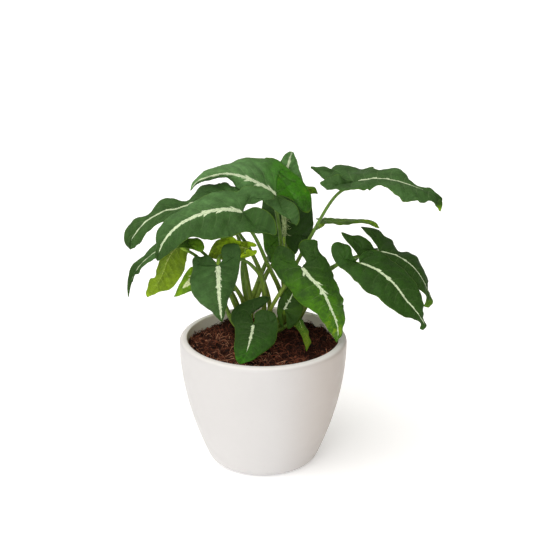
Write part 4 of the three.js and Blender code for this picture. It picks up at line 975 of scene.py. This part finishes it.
left_leaves = {
    "small_left": {
        "slot": "young_leaf", "stripe": (3.4, 0.42, 0.74), "fresh": (0.2, 0.52, 0.42, 0.52, 0.52, 2),
        "turn": (3, 3),
        "rib": [(-45, -24, 182), (-55.5, -27, 176.5), (-65.5, -30, 168.5), (-73, -32, 162),
            (-79.5, -32, 155)],
        "left": [(-42.5, -26, 177.5), (-40.5, -28, 172), (-45, -30, 166), (-53, -32, 162.5),
            (-63, -33, 161), (-71, -33, 157.5), (-75.5, -33, 155.5)],
        "right": [(-41.5, -22, 183), (-40.5, -21, 186), (-47.5, -20, 186.5), (-55.5, -21, 186),
            (-61.5, -23, 184.5), (-67, -25, 179.5), (-72, -28, 171), (-76, -30, 163.5)],
        "stalk": [(-20.5, 2, 134.5), (-29.5, -9, 157.5), (-37.5, -15, 172)],
    },
    "low_left": {
        "slot": "leaf", "stripe": (0.8, 0, 0.85), "fresh": (-0.3, -0.2, 0.2, 0.45, 0.4, 2), "olive": 1,
        "turn": (6, 3),
        "rib": [(-66.5, -41, 210), (-77, -46, 207), (-90.5, -51, 200.5), (-101, -54, 192.5),
            (-109, -56, 184.5), (-115, -57, 174.5), (-118.5, -57, 164.5), (-119.5, -55, 155)],
        "left": [(-60.5, -42, 210), (-55, -44, 209), (-52, -46, 204.5), (-52, -48, 199.5),
            (-55.5, -49, 197.5), (-64, -50, 200), (-74, -51, 201.5), (-83.5, -53, 197.5),
            (-90.5, -55, 191), (-96, -56, 191), (-98.5, -57, 188.5), (-103.5, -57, 185.5),
            (-108.5, -58, 180.5), (-110, -58, 177), (-113.5, -58, 176), (-115.5, -58, 172),
            (-116.5, -57, 166), (-118.5, -57, 160.5)],
        "right": [(-62, -36, 215.5), (-58.5, -32, 220.5), (-62, -30, 222.5), (-70, -33, 221),
            (-79.5, -40, 215), (-90.5, -45, 207.5), (-95.5, -48, 203), (-103.5, -52, 196),
            (-109.5, -54, 191), (-114.5, -55, 186.5), (-117.5, -56, 181), (-119.5, -56, 174.5),
            (-121, -56, 164.5)],
        "stalk": [(-18, 2, 150.5), (-25.5, -9, 165), (-36, -17, 180), (-49.5, -23, 193.5),
            (-59, -32, 202)],
    },
    "pale_left": {
        "slot": "young_leaf", "stripe": (0.5, 0, 0.9), "fresh": (0.2, 0.34, 0.53, 0.15, 0.15, 2),
        "olive": 0.3,
        "turn": (2, 3),
        "rib": [(-71, -34, 204.5), (-79, -38, 198), (-84.5, -40, 189), (-88.5, -41, 178.5),
            (-94, -42, 167), (-103, -40, 155)],
        "left": [(-76.5, -31, 207.5), (-83.5, -29, 205.5), (-89.5, -31, 199), (-92, -34, 188.5),
            (-94.5, -36, 180.5), (-96, -37, 174.5), (-100, -37, 172.5), (-102.5, -38, 164),
            (-104, -39, 158.5)],
        "right": [(-66.5, -26, 208.5), (-63, -23, 208.5), (-64, -24, 202), (-66.5, -28, 195.5),
            (-68, -33, 188), (-70, -34, 179.5), (-75.5, -36, 170), (-82.5, -38, 162.5),
            (-91.5, -40, 160), (-98.5, -40, 157)],
        "stalk": [(-22.5, 6, 146.5), (-28.5, 1, 160), (-40, -9, 175.5), (-52, -19, 187),
            (-60, -26, 194.5)],
    },
    "behind_left": {
        "slot": "young_leaf", "stripe": (0.5, 0, 0.8), "fresh": (0.7, 0.75, 0.55, 1, 1, 1), "olive": 0.4,
        "turn": (7, 5),
        "rib": [(-13.5, -5, 200.5), (-22, -8, 202), (-31.5, -10.5, 203.5), (-41, -12, 200),
            (-48.5, -12, 193.5)],
        "left": [(-11, -2.5, 202), (-7.5, -1, 202), (-5.5, -0.5, 203.5), (-8, -1, 206), (-13.5, -2, 207),
            (-19, -3, 206), (-23, -4.5, 207), (-25.5, -5.5, 211), (-32.5, -6.5, 210), (-40, -8, 208.5),
            (-45, -10, 202)],
        "right": [(-10, -4, 199), (-5.5, -3.5, 199), (-6, -4.5, 195.5), (-11, -6.5, 193.5),
            (-17, -10, 192), (-24, -13, 190.5), (-32.5, -14.5, 190), (-41.5, -14, 190.5)],
        "stalk": [(-14.5, 8, 149), (-17, 3, 164.5), (-18.5, -1, 180.5)],
    },
    "back_left": {
        "slot": "leaf", "stripe": (2.2, 0, 0.88), "fresh": (0.6, 0.6, 0.3, 0.5, 0.5, 2), "olive": 1,
        "joint": (-31, 50, 217), "heading": 128, "slope": (18, -50),
        "length": 64, "half": 24, "fold": 24, "roll": 0,
        "stalk": [(-10.5, 12, 149), (-13, 14, 164.5), (-16, 20, 184), (-19.5, 30, 202), (-22, 38, 212)],
    },
    "back_middle": {
        "slot": "leaf", "stripe": (2.3, 0, 0.9), "fresh": (0.15, 0.15, 0.2, 0.15, 0.15, 2),
        "joint": (24, 78, 192), "heading": 84, "slope": (0, -62),
        "length": 56, "half": 21, "fold": 18, "roll": 0,
        "stalk": [(-10.5, 14, 152), (-6, 24, 164.5), (-1, 36, 178.5), (7, 54, 196), (18.5, 70, 211)],
    },
    "edge_right": {
        "slot": "leaf", "stripe": (1.2, 0, 0.85), "fresh": (0.45, 0.45, 0.8, 0.45, 0.45, 3), "olive": 1,
        "turn": (3, 3),
        "rib": [(51.5, 44, 225.5), (71, 48, 225.5), (86.5, 50, 225), (95.5, 51, 223), (101.5, 51, 219)],
        "left": [(49, 48, 226), (46, 56, 227), (48, 64, 227.5), (55, 71, 227.5), (71, 76, 226.5),
            (84.5, 72, 226), (94.5, 64, 226), (99, 57, 223.5)],
        "right": [(49, 38, 224.5), (46, 30, 224), (49, 23, 223.5), (59.5, 20, 224), (66.5, 24, 222.5),
            (78.5, 31, 223.5), (90.5, 41, 223), (97, 47, 220.5)],
        "stalk": [(-10, 6, 140.5), (-5, 15, 155.5), (0, 27, 169.5), (5.5, 42, 181.5), (19.5, 60, 198),
            (36, 58, 212)],
    },
    "back_low_left": {
        "slot": "leaf", "stripe": (2, 0, 0.85), "fresh": (0.35, 0.3, 0.4, 0.3, 0.3, 2),
        "joint": (-44, 50, 152), "heading": 122, "slope": (5, -60),
        "length": 44, "half": 17, "fold": 20, "roll": 10,
        "stalk": [(-27.5, 22, 132), (-34.5, 34, 149)],
    },
}
shoot("left", (-14, 6), left_leaves)

# The middle shoot: the low leaf over the rim, the heart-shaped one to the left of it and, on the longest
# stalk, the topmost leaf at the right. Stalks and blades are living leaf and grow as one plant with the
# stem.
middle_leaves = {
    "front_low": {
        "slot": "leaf", "stripe": (1.6, 0.03, 0.72), "fresh": (0.12, 0, 0.55, 0, 0, 3),
        "crisp": 1.4, "veined": 1.6, "torn": 0.4,
        "turn": (7, 11),
        "rib": [(-8.5, -28, 129), (-10.5, -34, 119.5), (-13, -41, 108.5), (-16.5, -47, 98),
            (-21, -50, 90)],
        "left": [(-8, -27, 133.5), (-8, -25, 138), (-5.5, -23.5, 141.5), (-1, -22.5, 143.5),
            (5, -22, 142), (10, -23, 139.5), (12.5, -25.5, 134), (13.5, -28, 127.5), (13, -31.5, 120),
            (10.5, -36.5, 111), (4, -42, 104), (-3, -46, 99), (-9.5, -50, 93.5), (-15.5, -51, 91.5)],
        "right": [(-10, -26, 133.5), (-11.5, -22, 138), (-7.5, -18, 142.5), (-2, -15, 146),
            (3, -13, 149.5), (6.5, -10.5, 154.5), (1.5, -9, 156), (-7.5, -10, 153.5),
            (-16.5, -12, 150.5), (-24.5, -15, 146), (-28.5, -19, 140), (-29, -23, 133.5),
            (-26, -28, 126), (-25.5, -35, 115.5), (-26, -42, 104), (-24, -48, 94)],
        "stalk": [(-6.5, -3, 122), (-7, -15, 129.5)],
    },
    "front_middle_left": {
        "slot": "leaf", "stripe": (2.4, 0, 1), "fresh": (-0.07, -0.2, -0.05, -0.1, -0.1, 2),
        "crisp": 1.3, "veined": 1.2, "torn": 0.4,
        "turn": (8, 7),
        "rib": [(-39.5, -40, 184.5), (-39.5, -44, 171), (-39, -47, 155.5), (-38, -48, 142.5),
            (-37, -46, 131.5)],
        "left": [(-37.5, -38.5, 187), (-35.5, -37, 190.5), (-36.5, -35.5, 195.5), (-36.5, -34.5, 200.5),
            (-33.5, -33.5, 204.5), (-27.5, -33, 205.5), (-22, -33, 204.5), (-20, -33.5, 200.5),
            (-20.5, -35, 188), (-22, -38, 175.5), (-24.5, -41, 165.5), (-28.5, -43, 157.5),
            (-33, -45, 147), (-35, -46, 137.5)],
        "right": [(-42, -38.5, 187), (-43, -37, 189.5), (-45.5, -35.5, 192.5), (-49, -34, 193.5),
            (-54.5, -31.5, 192.5), (-59.5, -30, 193.5), (-62.5, -30, 190), (-63, -32, 181.5),
            (-64.5, -35, 172), (-63.5, -38, 161.5), (-58.5, -41, 151.5), (-51.5, -44, 144.5),
            (-44.5, -45.5, 138.5), (-40, -46, 134)],
        "stalk": [(1, 2, 152), (0, -2, 167), (-3.5, -7, 177), (-8, -12, 182.5), (-12.5, -16, 187),
            (-18.5, -20, 190), (-28, -26, 193), (-34.5, -29, 195), (-38.5, -33, 192.5)],
    },
    "top_right": {
        "slot": "leaf", "stripe": (1.6, 0.05, 0.72), "fresh": (-0.15, -0.15, 1.3, -0.1, -0.1, 14),
        "crisp": 2.4, "veined": 1.5, "olive": 1,
        "turn": (9, 8),
        "rib": [(78.5, -6, 261.5), (89, -8, 263.5), (99.5, -10, 264.5), (115, -13, 262.5),
            (128, -16, 258.5), (140.5, -18, 253.5), (150.5, -20, 247.5), (155.5, -21, 241.5),
            (154.5, -22, 234.5)],
        "left": [(71, -1, 261.5), (62.5, 3, 261.5), (53.5, 8, 262.5), (49, 13, 266.5), (44, 17, 271.5),
            (40.5, 18.5, 274), (41.5, 19.5, 276.5), (47.5, 22, 274.5), (55.5, 25, 273.5),
            (62.5, 27, 275.5), (69.5, 27, 274), (76.5, 27, 274.5), (83, 23, 272.5), (91.5, 21, 272),
            (98.5, 16, 272), (106, 15, 273.5), (112.5, 13, 275), (118.5, 7, 270.5), (128, -5, 260.5),
            (133, -9, 257), (143.5, -13, 252.5), (151, -15.5, 250.5), (156.5, -18, 248),
            (157.5, -19.5, 245), (156, -21, 239)],
        "right": [(72.5, -9.5, 264), (64, -11, 266), (56, -12, 266), (50, -12, 264), (48, -13, 261),
            (50, -15, 258), (55.5, -19, 255), (62, -24, 254.5), (68.5, -28, 252.5), (78.5, -30, 252.5),
            (82.5, -30, 254), (87, -29.5, 254), (91.5, -28, 256.5), (98, -28, 258), (105, -29.5, 256.5),
            (111, -31, 254.5), (117, -33, 249.5), (125, -34, 245.5), (132.5, -33, 244.5),
            (140, -30.5, 245), (145, -28, 245.5), (149, -25.5, 243), (152, -23.5, 238.5)],
        "stalk": [(4.5, -5, 138.5), (13.5, -9, 156), (19.5, -9, 166), (41, -3, 210), (64, -2, 250)],
    },
}
shoot("middle", (-1, 2), middle_leaves)

# The right shoot: the big leaf at the far left, the hanging leaf over the right of the rim and two small
# ones under it. Stalks and blades are living leaf and grow as one plant with the stem.
right_leaves = {
    "left": {
        "slot": "leaf", "stripe": (1.6, 0, 1), "fresh": (-0.14, -0.17, -0.06, -0.18, -0.18, 2),
        "veined": 1.5,
        "turn": (4, 5),
        "rib": [(-21.5, -20, 245), (-37.5, -22, 245.5), (-52, -24, 244.5), (-65, -27, 240.5),
            (-75, -30, 237), (-84.5, -33, 235.5), (-95.5, -37, 230), (-103, -40, 225),
            (-110, -42, 216.5), (-115.5, -43, 208.5), (-116.5, -42, 200)],
        "left": [(-19, -25, 241.5), (-18.5, -30, 237), (-20.5, -34, 233), (-26.5, -36, 232.5),
            (-35.5, -37, 234.5), (-48.5, -38, 235.5), (-63.5, -40, 233), (-76.5, -43, 229.5),
            (-90, -45, 225), (-98, -46, 218), (-103.5, -46, 213.5), (-107, -46, 207),
            (-112.5, -44, 202.5)],
        "right": [(-17.5, -15, 248.5), (-13, -9, 251.5), (-14, -4, 255), (-20, -2, 255.5),
            (-27, -1, 257.5), (-34, -1, 261.5), (-40.5, -4, 259), (-47.5, -5, 260.5), (-54.5, -8, 258),
            (-60, -15, 252.5), (-67, -23, 245), (-74.5, -23, 245.5), (-80, -23.5, 247),
            (-86.5, -25, 246), (-93.5, -28, 240.5), (-100.5, -31, 233), (-110.5, -33.5, 230),
            (-117.5, -37, 224), (-120.5, -40.5, 216.5), (-121, -42, 209.5), (-119.5, -42, 203.5)],
        "stalk": [(5, 16, 153), (1, 13, 168), (-3.5, 10, 181.5), (-8.5, 8, 193), (-13.5, 6, 203.5),
            (-19, 1, 211.5), (-22, -8, 217.5)],
    },
    "low_right": {
        "slot": "leaf", "stripe": (1.2, 0, 0.85), "fresh": (0.15, 0.1, 0.2, 0.15, 0.1, 2),
        "torn": 1, "olive": 1,
        "turn": (5, 4),
        "rib": [(18.5, -7, 143), (23, -6, 151), (26.5, -3.5, 158.5), (32, -0.5, 167)],
        "left": [(16.5, -8, 139.5), (17, -9, 133), (18.5, -9.5, 125.5), (15.5, -9, 128),
            (13, -8.5, 135.5), (12.5, -7.5, 144.5), (14, -6, 152), (17, -4, 158), (22, -2, 164.5),
            (27, -0.5, 168)],
        "right": [(20, -8, 139), (20.5, -9, 132.5), (22.5, -9.5, 124), (27.5, -9, 127.5), (32, -8, 134),
            (35, -6.5, 141.5), (36, -4.5, 149.5), (35.5, -2, 159.5)],
        "stalk": [(14.5, 8, 126)],
    },
    "small_right": {
        "slot": "young_leaf", "stripe": (0.3, 0.1, 0.6), "fresh": (0.08, 0.25, 0.4, 0.1, 0.1, 2),
        "crisp": 1.5, "olive": 1,
        "turn": (1, 1),
        "rib": [(31.5, -2, 136), (33.5, -8, 129), (36.5, -14, 120), (38.5, -19, 110.5), (39, -21, 102.5)],
        "left": [(35.5, -1, 134), (37.5, -5, 129.5), (40, -10, 124), (41, -15, 117.5), (43, -18, 111.5),
            (40.5, -21, 106)],
        "right": [(29, -1.5, 133.5), (27.5, -4.5, 130), (29.5, -8.5, 125.5), (32.5, -12.5, 121.5),
            (35, -16, 117), (37, -20, 109.5)],
        "stalk": [(14, 4, 122.5), (19.5, 1, 126.5), (25.5, 1, 131.5)],
    },
    "front_right": {
        "slot": "leaf", "stripe": (1.9, 0, 1), "fresh": (0.15, 0.27, 0.85, 0.05, 0.15, 2),
        "crisp": 1.3, "veined": 1.5, "torn": 1, "olive": 0.5,
        "turn": (12, 9),
        "rib": [(34.5, -24, 183), (41.5, -28, 173.5), (49.5, -30, 165), (55, -31, 156.5),
            (59.5, -31, 146), (64.5, -29, 133.5), (67, -27, 122), (66, -26, 111)],
        "left": [(36.5, -23, 186), (38, -21, 189), (35.5, -19, 192.5), (32.5, -17, 195.5),
            (31.5, -16, 200.5), (32.5, -14.5, 205.5), (36.5, -13.5, 208.5), (42.5, -13, 209),
            (46.5, -13, 207.5), (48, -14, 202), (51.5, -15, 195.5), (56, -16, 191.5), (58, -17, 186.5),
            (60.5, -18, 179.5), (64, -19.5, 171), (68, -20.5, 159.5), (72, -21.5, 149),
            (73.5, -22, 141.5), (73, -22.5, 134.5), (71, -23, 128.5), (71, -24, 120)],
        "right": [(31, -24, 185), (29, -24, 189), (28, -23, 193), (27.5, -22, 196.5), (24, -22, 200),
            (18.5, -21, 202.5), (13, -20, 203.5), (9.5, -20, 198.5), (6.5, -21, 190), (7, -22, 184.5),
            (11, -25, 177), (16.5, -28, 169.5), (22, -30, 164), (26.5, -33, 156), (33.5, -35, 148.5),
            (41.5, -36, 143.5), (48, -36, 138.5), (54, -34, 130.5), (61, -31, 119.5)],
        "stalk": [(22, 10, 149), (32, 2, 172.5)],
    },
}
shoot("right", (8, 20), right_leaves)

# The back shoot: the topmost leaf at the left, the upright one behind it, a small olive one and one at the
# back. Stalks and blades are living leaf and grow as one plant with the stem.
back_leaves = {
    "top_left": {
        "slot": "leaf", "stripe": (2.2, 0, 1), "fresh": (-0.35, -0.45, -0.6, -0.12, 0.45, 1),
        "veined": 2, "torn": 0.8,
        "turn": (7, 9),
        "rib": [(11.5, -4, 250), (-1, -8, 259), (-17, -12, 266.5), (-32, -15, 269), (-47.5, -18, 266),
            (-58, -20, 261), (-63, -19, 253.5)],
        "left": [(19, -8, 246), (27, -12, 241.5), (31.5, -16, 233), (31.5, -18, 226), (28.5, -19, 221.5),
            (24, -17, 227), (15.5, -15, 232), (9, -14, 237), (0, -13, 244), (-9.5, -12, 250.5),
            (-17.5, -12, 253.5), (-23.5, -11, 256), (-27.5, -9, 262), (-32, -8, 265.5), (-44, -8, 265),
            (-54.5, -12, 260.5), (-61, -17, 255.5)],
        "right": [(18.5, 0, 248.5), (26, 4, 244.5), (33, 2, 236), (38.5, 0, 233), (42.5, 4, 237),
            (42, 10, 246), (36.5, 15, 257.5), (28.5, 20, 268), (20, 24, 275), (8.5, 28, 282.5),
            (-13, 26, 283), (-29, 18, 280), (-46.5, 4, 272.5), (-56, -8, 265.5), (-62, -16, 259)],
        "stalk": [(19.5, 42, 149), (18, 34, 170), (16.5, 25, 188), (15.5, 12, 209), (12, 3, 233)],
    },
    "upright_back": {
        "slot": "leaf", "stripe": (1.9, 0.48, 1.05), "fresh": (0.05, 0.05, -0.9, 0.27, 0.05, 1.5),
        "olive": 0.6,
        "turn": (5, 5),
        "rib": [(17.5, 34, 212), (19, 35, 231.5), (19.5, 33, 254), (21, 31, 274), (23.5, 27, 284.5),
            (24.5, 24, 289.5)],
        "left": [(16, 34, 205.5), (14, 32, 197), (10.5, 31, 189.5), (6, 32, 187), (3, 36, 193.5),
            (0.5, 41, 208.5), (-1.5, 43, 226.5), (-1, 42, 242.5), (3.5, 37, 258.5), (9.5, 34, 272),
            (14.5, 31, 280), (18, 28, 285.5), (22, 25, 289)],
        "right": [(20, 34, 205.5), (24, 33, 198), (28, 34, 195), (32.5, 38, 202), (37, 42, 209),
            (42.5, 45, 217.5), (44, 46, 226.5), (42.5, 45, 238.5), (40, 42, 250.5), (35, 37, 262),
            (31.5, 34, 273), (28.5, 29, 282.5), (26.5, 26, 287.5)],
        "stalk": [(21, 46, 149), (19.5, 43, 188)],
    },
    "tip_back": {
        "slot": "leaf", "stripe": (1, 0, 0.8), "fresh": (0.3, 0.3, 0.5, 0.3, 0.3, 1), "olive": 1,
        "turn": (2, 2),
        "rib": [(17.5, 52, 248.5), (29.5, 54, 253.5), (40, 54, 254), (47.5, 54, 251)],
        "left": [(15.5, 56, 254), (18, 60, 260.5), (25, 62, 262), (33, 60, 260), (39, 57, 257.5),
            (45, 55.5, 256.5)],
        "right": [(15.5, 50, 244), (20, 49, 239.5), (28, 50, 242.5), (35, 52, 247), (40.5, 53, 250),
            (44, 54, 251)],
        "stalk": [(23, 48, 149), (22, 46, 193.5), (19.5, 49, 223.5), (18.5, 51, 239.5)],
    },
    "back_right": {
        "slot": "leaf", "stripe": (2, 0, 0.86), "fresh": (0.25, 0.2, 0.3, 0.2, 0.2, 2),
        "joint": (44, 60, 156), "heading": 78, "slope": (0, -60),
        "length": 46, "half": 16, "fold": 22, "roll": -6,
        "stalk": [(26, 50, 147), (35.5, 52, 166)],
    },
}
shoot("back", (18, 47), back_leaves)

# The far right shoot: the big front leaf that arches over to the left, two big leaves that hang over to the
# right, one behind the other, and one at the back, all living leaf and grown as one plant with the stem.
far_right_leaves = {
    "front_left": {
        "slot": "leaf", "stripe": (2.4, 0.01, 0.97), "fresh": (-0.12, -0.4, 0, -0.05, -0.22, 2),
        "crisp": 1.2, "veined": 1.2, "torn": 0.6,
        "turn": (9, 11),
        "rib": [(-18, -46, 234), (-29.5, -50, 236.5), (-42, -54, 236), (-56.5, -58, 231.5),
            (-71.5, -62, 223.5), (-83, -64, 213), (-90.5, -64, 200), (-93, -62, 190)],
        "left": [(-14, -50, 236.5), (-8, -53, 238.5), (-1.5, -56, 238), (4.5, -58, 234.5),
            (9, -60, 228.5), (11, -61, 221), (10.5, -61, 213.5), (2, -62, 215), (-5, -62.5, 214),
            (-15, -64, 215.5), (-23.5, -65, 213.5), (-30, -66, 211), (-48, -69, 208.5),
            (-60.5, -71, 211), (-67.5, -72, 208.5), (-74.5, -71, 202.5), (-82.5, -68, 196),
            (-90.5, -64, 190)],
        "right": [(-16.5, -42, 237.5), (-14.5, -39, 240.5), (-11, -36, 242), (-6, -33, 243),
            (-2.5, -31, 244.5), (3.5, -29, 245.5), (10, -27, 247), (7, -24, 251.5), (-1, -23, 255.5),
            (-8.5, -22, 257), (-17.5, -22, 257.5), (-23.5, -22, 254), (-33.5, -25, 253.5),
            (-47.5, -31, 248.5), (-64.5, -39, 241), (-83, -48, 232), (-91.5, -55, 221),
            (-94.5, -60, 210), (-94.5, -62, 199)],
        "stalk": [(22, 32, 143.5), (16, 20, 158), (13, 13, 166.5), (7, 2, 179.5), (2.5, -8, 189.5),
            (-2, -19, 200.5), (-7.5, -28, 212)],
    },
    "right": {
        "slot": "leaf", "stripe": (1.6, 0, 0.97), "fresh": (0.05, 0.06, 0.15, 0.1, 0.1, 3),
        "crisp": 1.2,
        "turn": (4, 8),
        "rib": [(85, -30, 187), (93.5, -36, 184), (101.5, -41, 180), (112.5, -46, 171),
            (120, -49, 162.5), (126.5, -51, 153), (134.5, -52, 143.5), (140.5, -52, 135.5),
            (144.5, -50, 127.5), (143, -49, 123)],
        "left": [(84.5, -27, 191.5), (86.5, -24, 195), (89, -21, 198), (94, -19, 200), (100, -19, 199),
            (108.5, -22, 194), (116.5, -26, 188), (127, -32, 179.5), (134, -38, 170), (138, -42, 162.5),
            (141, -44.5, 155.5), (142, -46.5, 148), (142.5, -48, 140.5), (144.5, -49, 133.5),
            (146.5, -49.5, 127)],
        "right": [(82.5, -31, 188.5), (80.5, -31, 191), (75.5, -26, 204), (71, -25, 206),
            (64.5, -25, 207), (61, -26, 204.5), (60, -28, 199), (62, -33, 190), (67, -38, 183.5),
            (76, -44, 176.5), (83.5, -50, 168), (91, -54, 160), (102, -57, 155), (108.5, -59, 147.5),
            (117.5, -60, 141.5), (125, -60, 136.5), (130.5, -58, 135), (137.5, -55, 132),
            (141.5, -52, 128.5), (140, -50, 124.5)],
        "stalk": [(35.5, 34, 147), (45, 18, 167), (58.5, -4, 180), (72, -19, 188)],
    },
    "right_back": {
        "slot": "leaf", "stripe": (1, 0, 0.95), "fresh": (0.03, 0.05, 0.8, 0.05, 0.05, 12), "olive": 1,
        "turn": (7, 9),
        "rib": [(103, -8, 198), (112, -12, 196), (119, -15, 193.5), (131.5, -20, 184.5),
            (140, -24, 173.5), (145.5, -27, 162.5), (149.5, -28, 152), (147, -27, 145.5)],
        "left": [(100.5, -5, 202), (98.5, -2, 205.5), (93.5, 2, 212), (88.5, 6, 217), (85.5, 9, 221.5),
            (93.5, 13, 220.5), (101.5, 14, 217.5), (106, 12, 213), (114, 10, 208.5), (116.5, 6, 202.5),
            (118.5, 3, 198.5), (127.5, 1, 196.5), (134, -2, 193), (137.5, -7, 187), (142.5, -12, 179),
            (146, -17, 170.5), (146, -21, 162.5), (147.5, -24, 156.5), (150.5, -26, 150)],
        "right": [(99, -10, 199.5), (96.5, -9, 203.5), (92, -8, 209), (85, -7, 213), (79, -7, 213),
            (68, -8, 215.5), (72, -12, 209), (77, -16, 203), (81.5, -18, 197), (87, -20, 189.5),
            (99, -26, 182), (112.5, -31, 173.5), (124, -34, 167.5), (133, -35, 163.5), (140, -34, 160.5),
            (144.5, -32, 155.5), (145, -30.5, 151), (143, -29, 146.5)],
        "stalk": [(37.5, 38, 149), (48.5, 23, 172), (62, 8, 184), (85.5, -3, 194)],
    },
    "right_far_back": {
        "slot": "leaf", "stripe": (2, 0, 0.88), "fresh": (0.15, 0.15, 0.2, 0.15, 0.15, 2),
        "joint": (98, 42, 182), "heading": 34, "slope": (12, -55),
        "length": 52, "half": 20, "fold": 20, "roll": 0,
        "stalk": [(40, 42, 149), (50.5, 36, 172), (62.5, 29, 183.5), (78.5, 30, 191.5)],
    },
}
shoot("far_right", (31, 44), far_right_leaves)

# The rolled leaf: the youngest leaf of the back shoot, still rolled in a dry papery sheath that frays into
# threads at its right, on a thin stalk beside the one of the topmost leaf. The stalk is pale green all
# along, partly its own colour and partly painted light where it stands in the leaves' shade. It grows from
# the same stem.
ROLLED = [
    (20.2, 42, 148.6), (17.6, 36, 187.1), (18.2, 25, 203), (18.7, 16, 215.3), (18.5, 11, 224.7),
    (17.2, 9, 236)]
ROLLED_STALK = 1.15 * MM
SHEATHED_FROM = 0.72
# The sheath's radius at both ends, and how much more it is where it is full
SHEATH_RADIUS = (1.1 * MM, 0.9 * MM)
THREADS = 11
THREAD_LENGTH = 5 * MM
THREAD_RADIUS = 0.26 * MM
THREAD_STEPS = 8
THREAD_SIDES = 4
THREAD_TAPER = (0, 1, 1, 0.9, 0.8, 0.7, 0.6, 0)
THREAD_SEED = 4

stem_line = smooth(drawn(ROLLED))
share = np.linspace(0, 1, STALK_STEPS)
radius = ROLLED_STALK * ((share > 0) & (share < 1))
radius = np.repeat(radius[None, :, None], STALK_SIDES, axis=2)
points, squares = strands(at_share(stem_line, share)[None], radius, STALK_SIDES)
# The whole stalk takes the pale joint colour: partly its young green, and partly painted light in the shade
# of the leaves
marks = {"along": np.full(len(points), 0.3), "joint": np.full(len(points), 1.2)}
sewn("rolled_stalk", points, squares, stalk_skin, marks)

dry_sheath, tree, shader = finish_of("dry_sheath", {"Roughness": 0.8, "Specular IOR Level": 0.2})
place = node(tree, "TexCoord").outputs["Object"]
stretched = node(tree, "Mapping", {"Vector": place, "Scale": (1400, 1400, 90)}).outputs[0]
fold = noise(tree, stretched, 1.0, 2.0)
paper = blended(tree, spread(tree, fold, 0.35, 0.65), linear(100, 124, 64), linear(182, 196, 142))
feed(tree, shader, {
    "Base Color": paper,
    "Normal": raised(tree, fold, 0.6, 0.4 * MM)})


def wrap():
    """The sheath: a tube round the end of the stalk line that widens, narrows again at its end, and is
    folded lengthwise by two sines that wind round it."""
    share = np.linspace(SHEATHED_FROM, 1, STALK_STEPS)
    full = ease(share, SHEATHED_FROM, SHEATHED_FROM + 0.06) * (1 - 0.5 * ease(share, 0.93, 1))
    angle = 2 * np.pi * np.arange(STALK_SIDES) / STALK_SIDES
    twist = share[:, None]
    folded = 1 + 0.16 * np.sin(3 * angle + 9 * twist) + 0.1 * np.sin(5 * angle - 14 * twist)
    radius = (SHEATH_RADIUS[0] + SHEATH_RADIUS[1] * full)[:, None] * folded
    radius[[0, -1]] = 0
    return strands(at_share(stem_line, share)[None], radius[None], STALK_SIDES)


def threads():
    """Threads that stand out to the right of the sheath, each a thin tube along a bowed and waved line that
    rises or falls by the square of its length."""
    draw = np.random.default_rng(THREAD_SEED)
    root = at_share(stem_line, draw.uniform(SHEATHED_FROM, 0.94, THREADS))
    bow = np.linspace(0, 1, THREAD_STEPS)[None, :]
    reach = THREAD_LENGTH * draw.uniform(0.5, 1.1, (THREADS, 1))
    rise = THREAD_LENGTH * draw.uniform(-0.4, 0.7, (THREADS, 1))
    path = np.stack([
        root[:, :1] + MM + reach * bow, root[:, 1:2] - 2 * MM * bow * (1 - bow),
        root[:, 2:] + rise * bow**2 + 0.8 * MM * np.sin(5 * bow)], axis=2)
    radius = THREAD_RADIUS * np.array(THREAD_TAPER)
    radius = np.broadcast_to(radius[None, :, None], (THREADS, THREAD_STEPS, THREAD_SIDES))
    return strands(path, radius, THREAD_SIDES)


(points, squares), (thread_points, thread_squares) = wrap(), threads()
squares = np.vstack([squares, thread_squares + len(points)])
sewn("rolled_sheath", np.vstack([points, thread_points]), squares, dry_sheath)
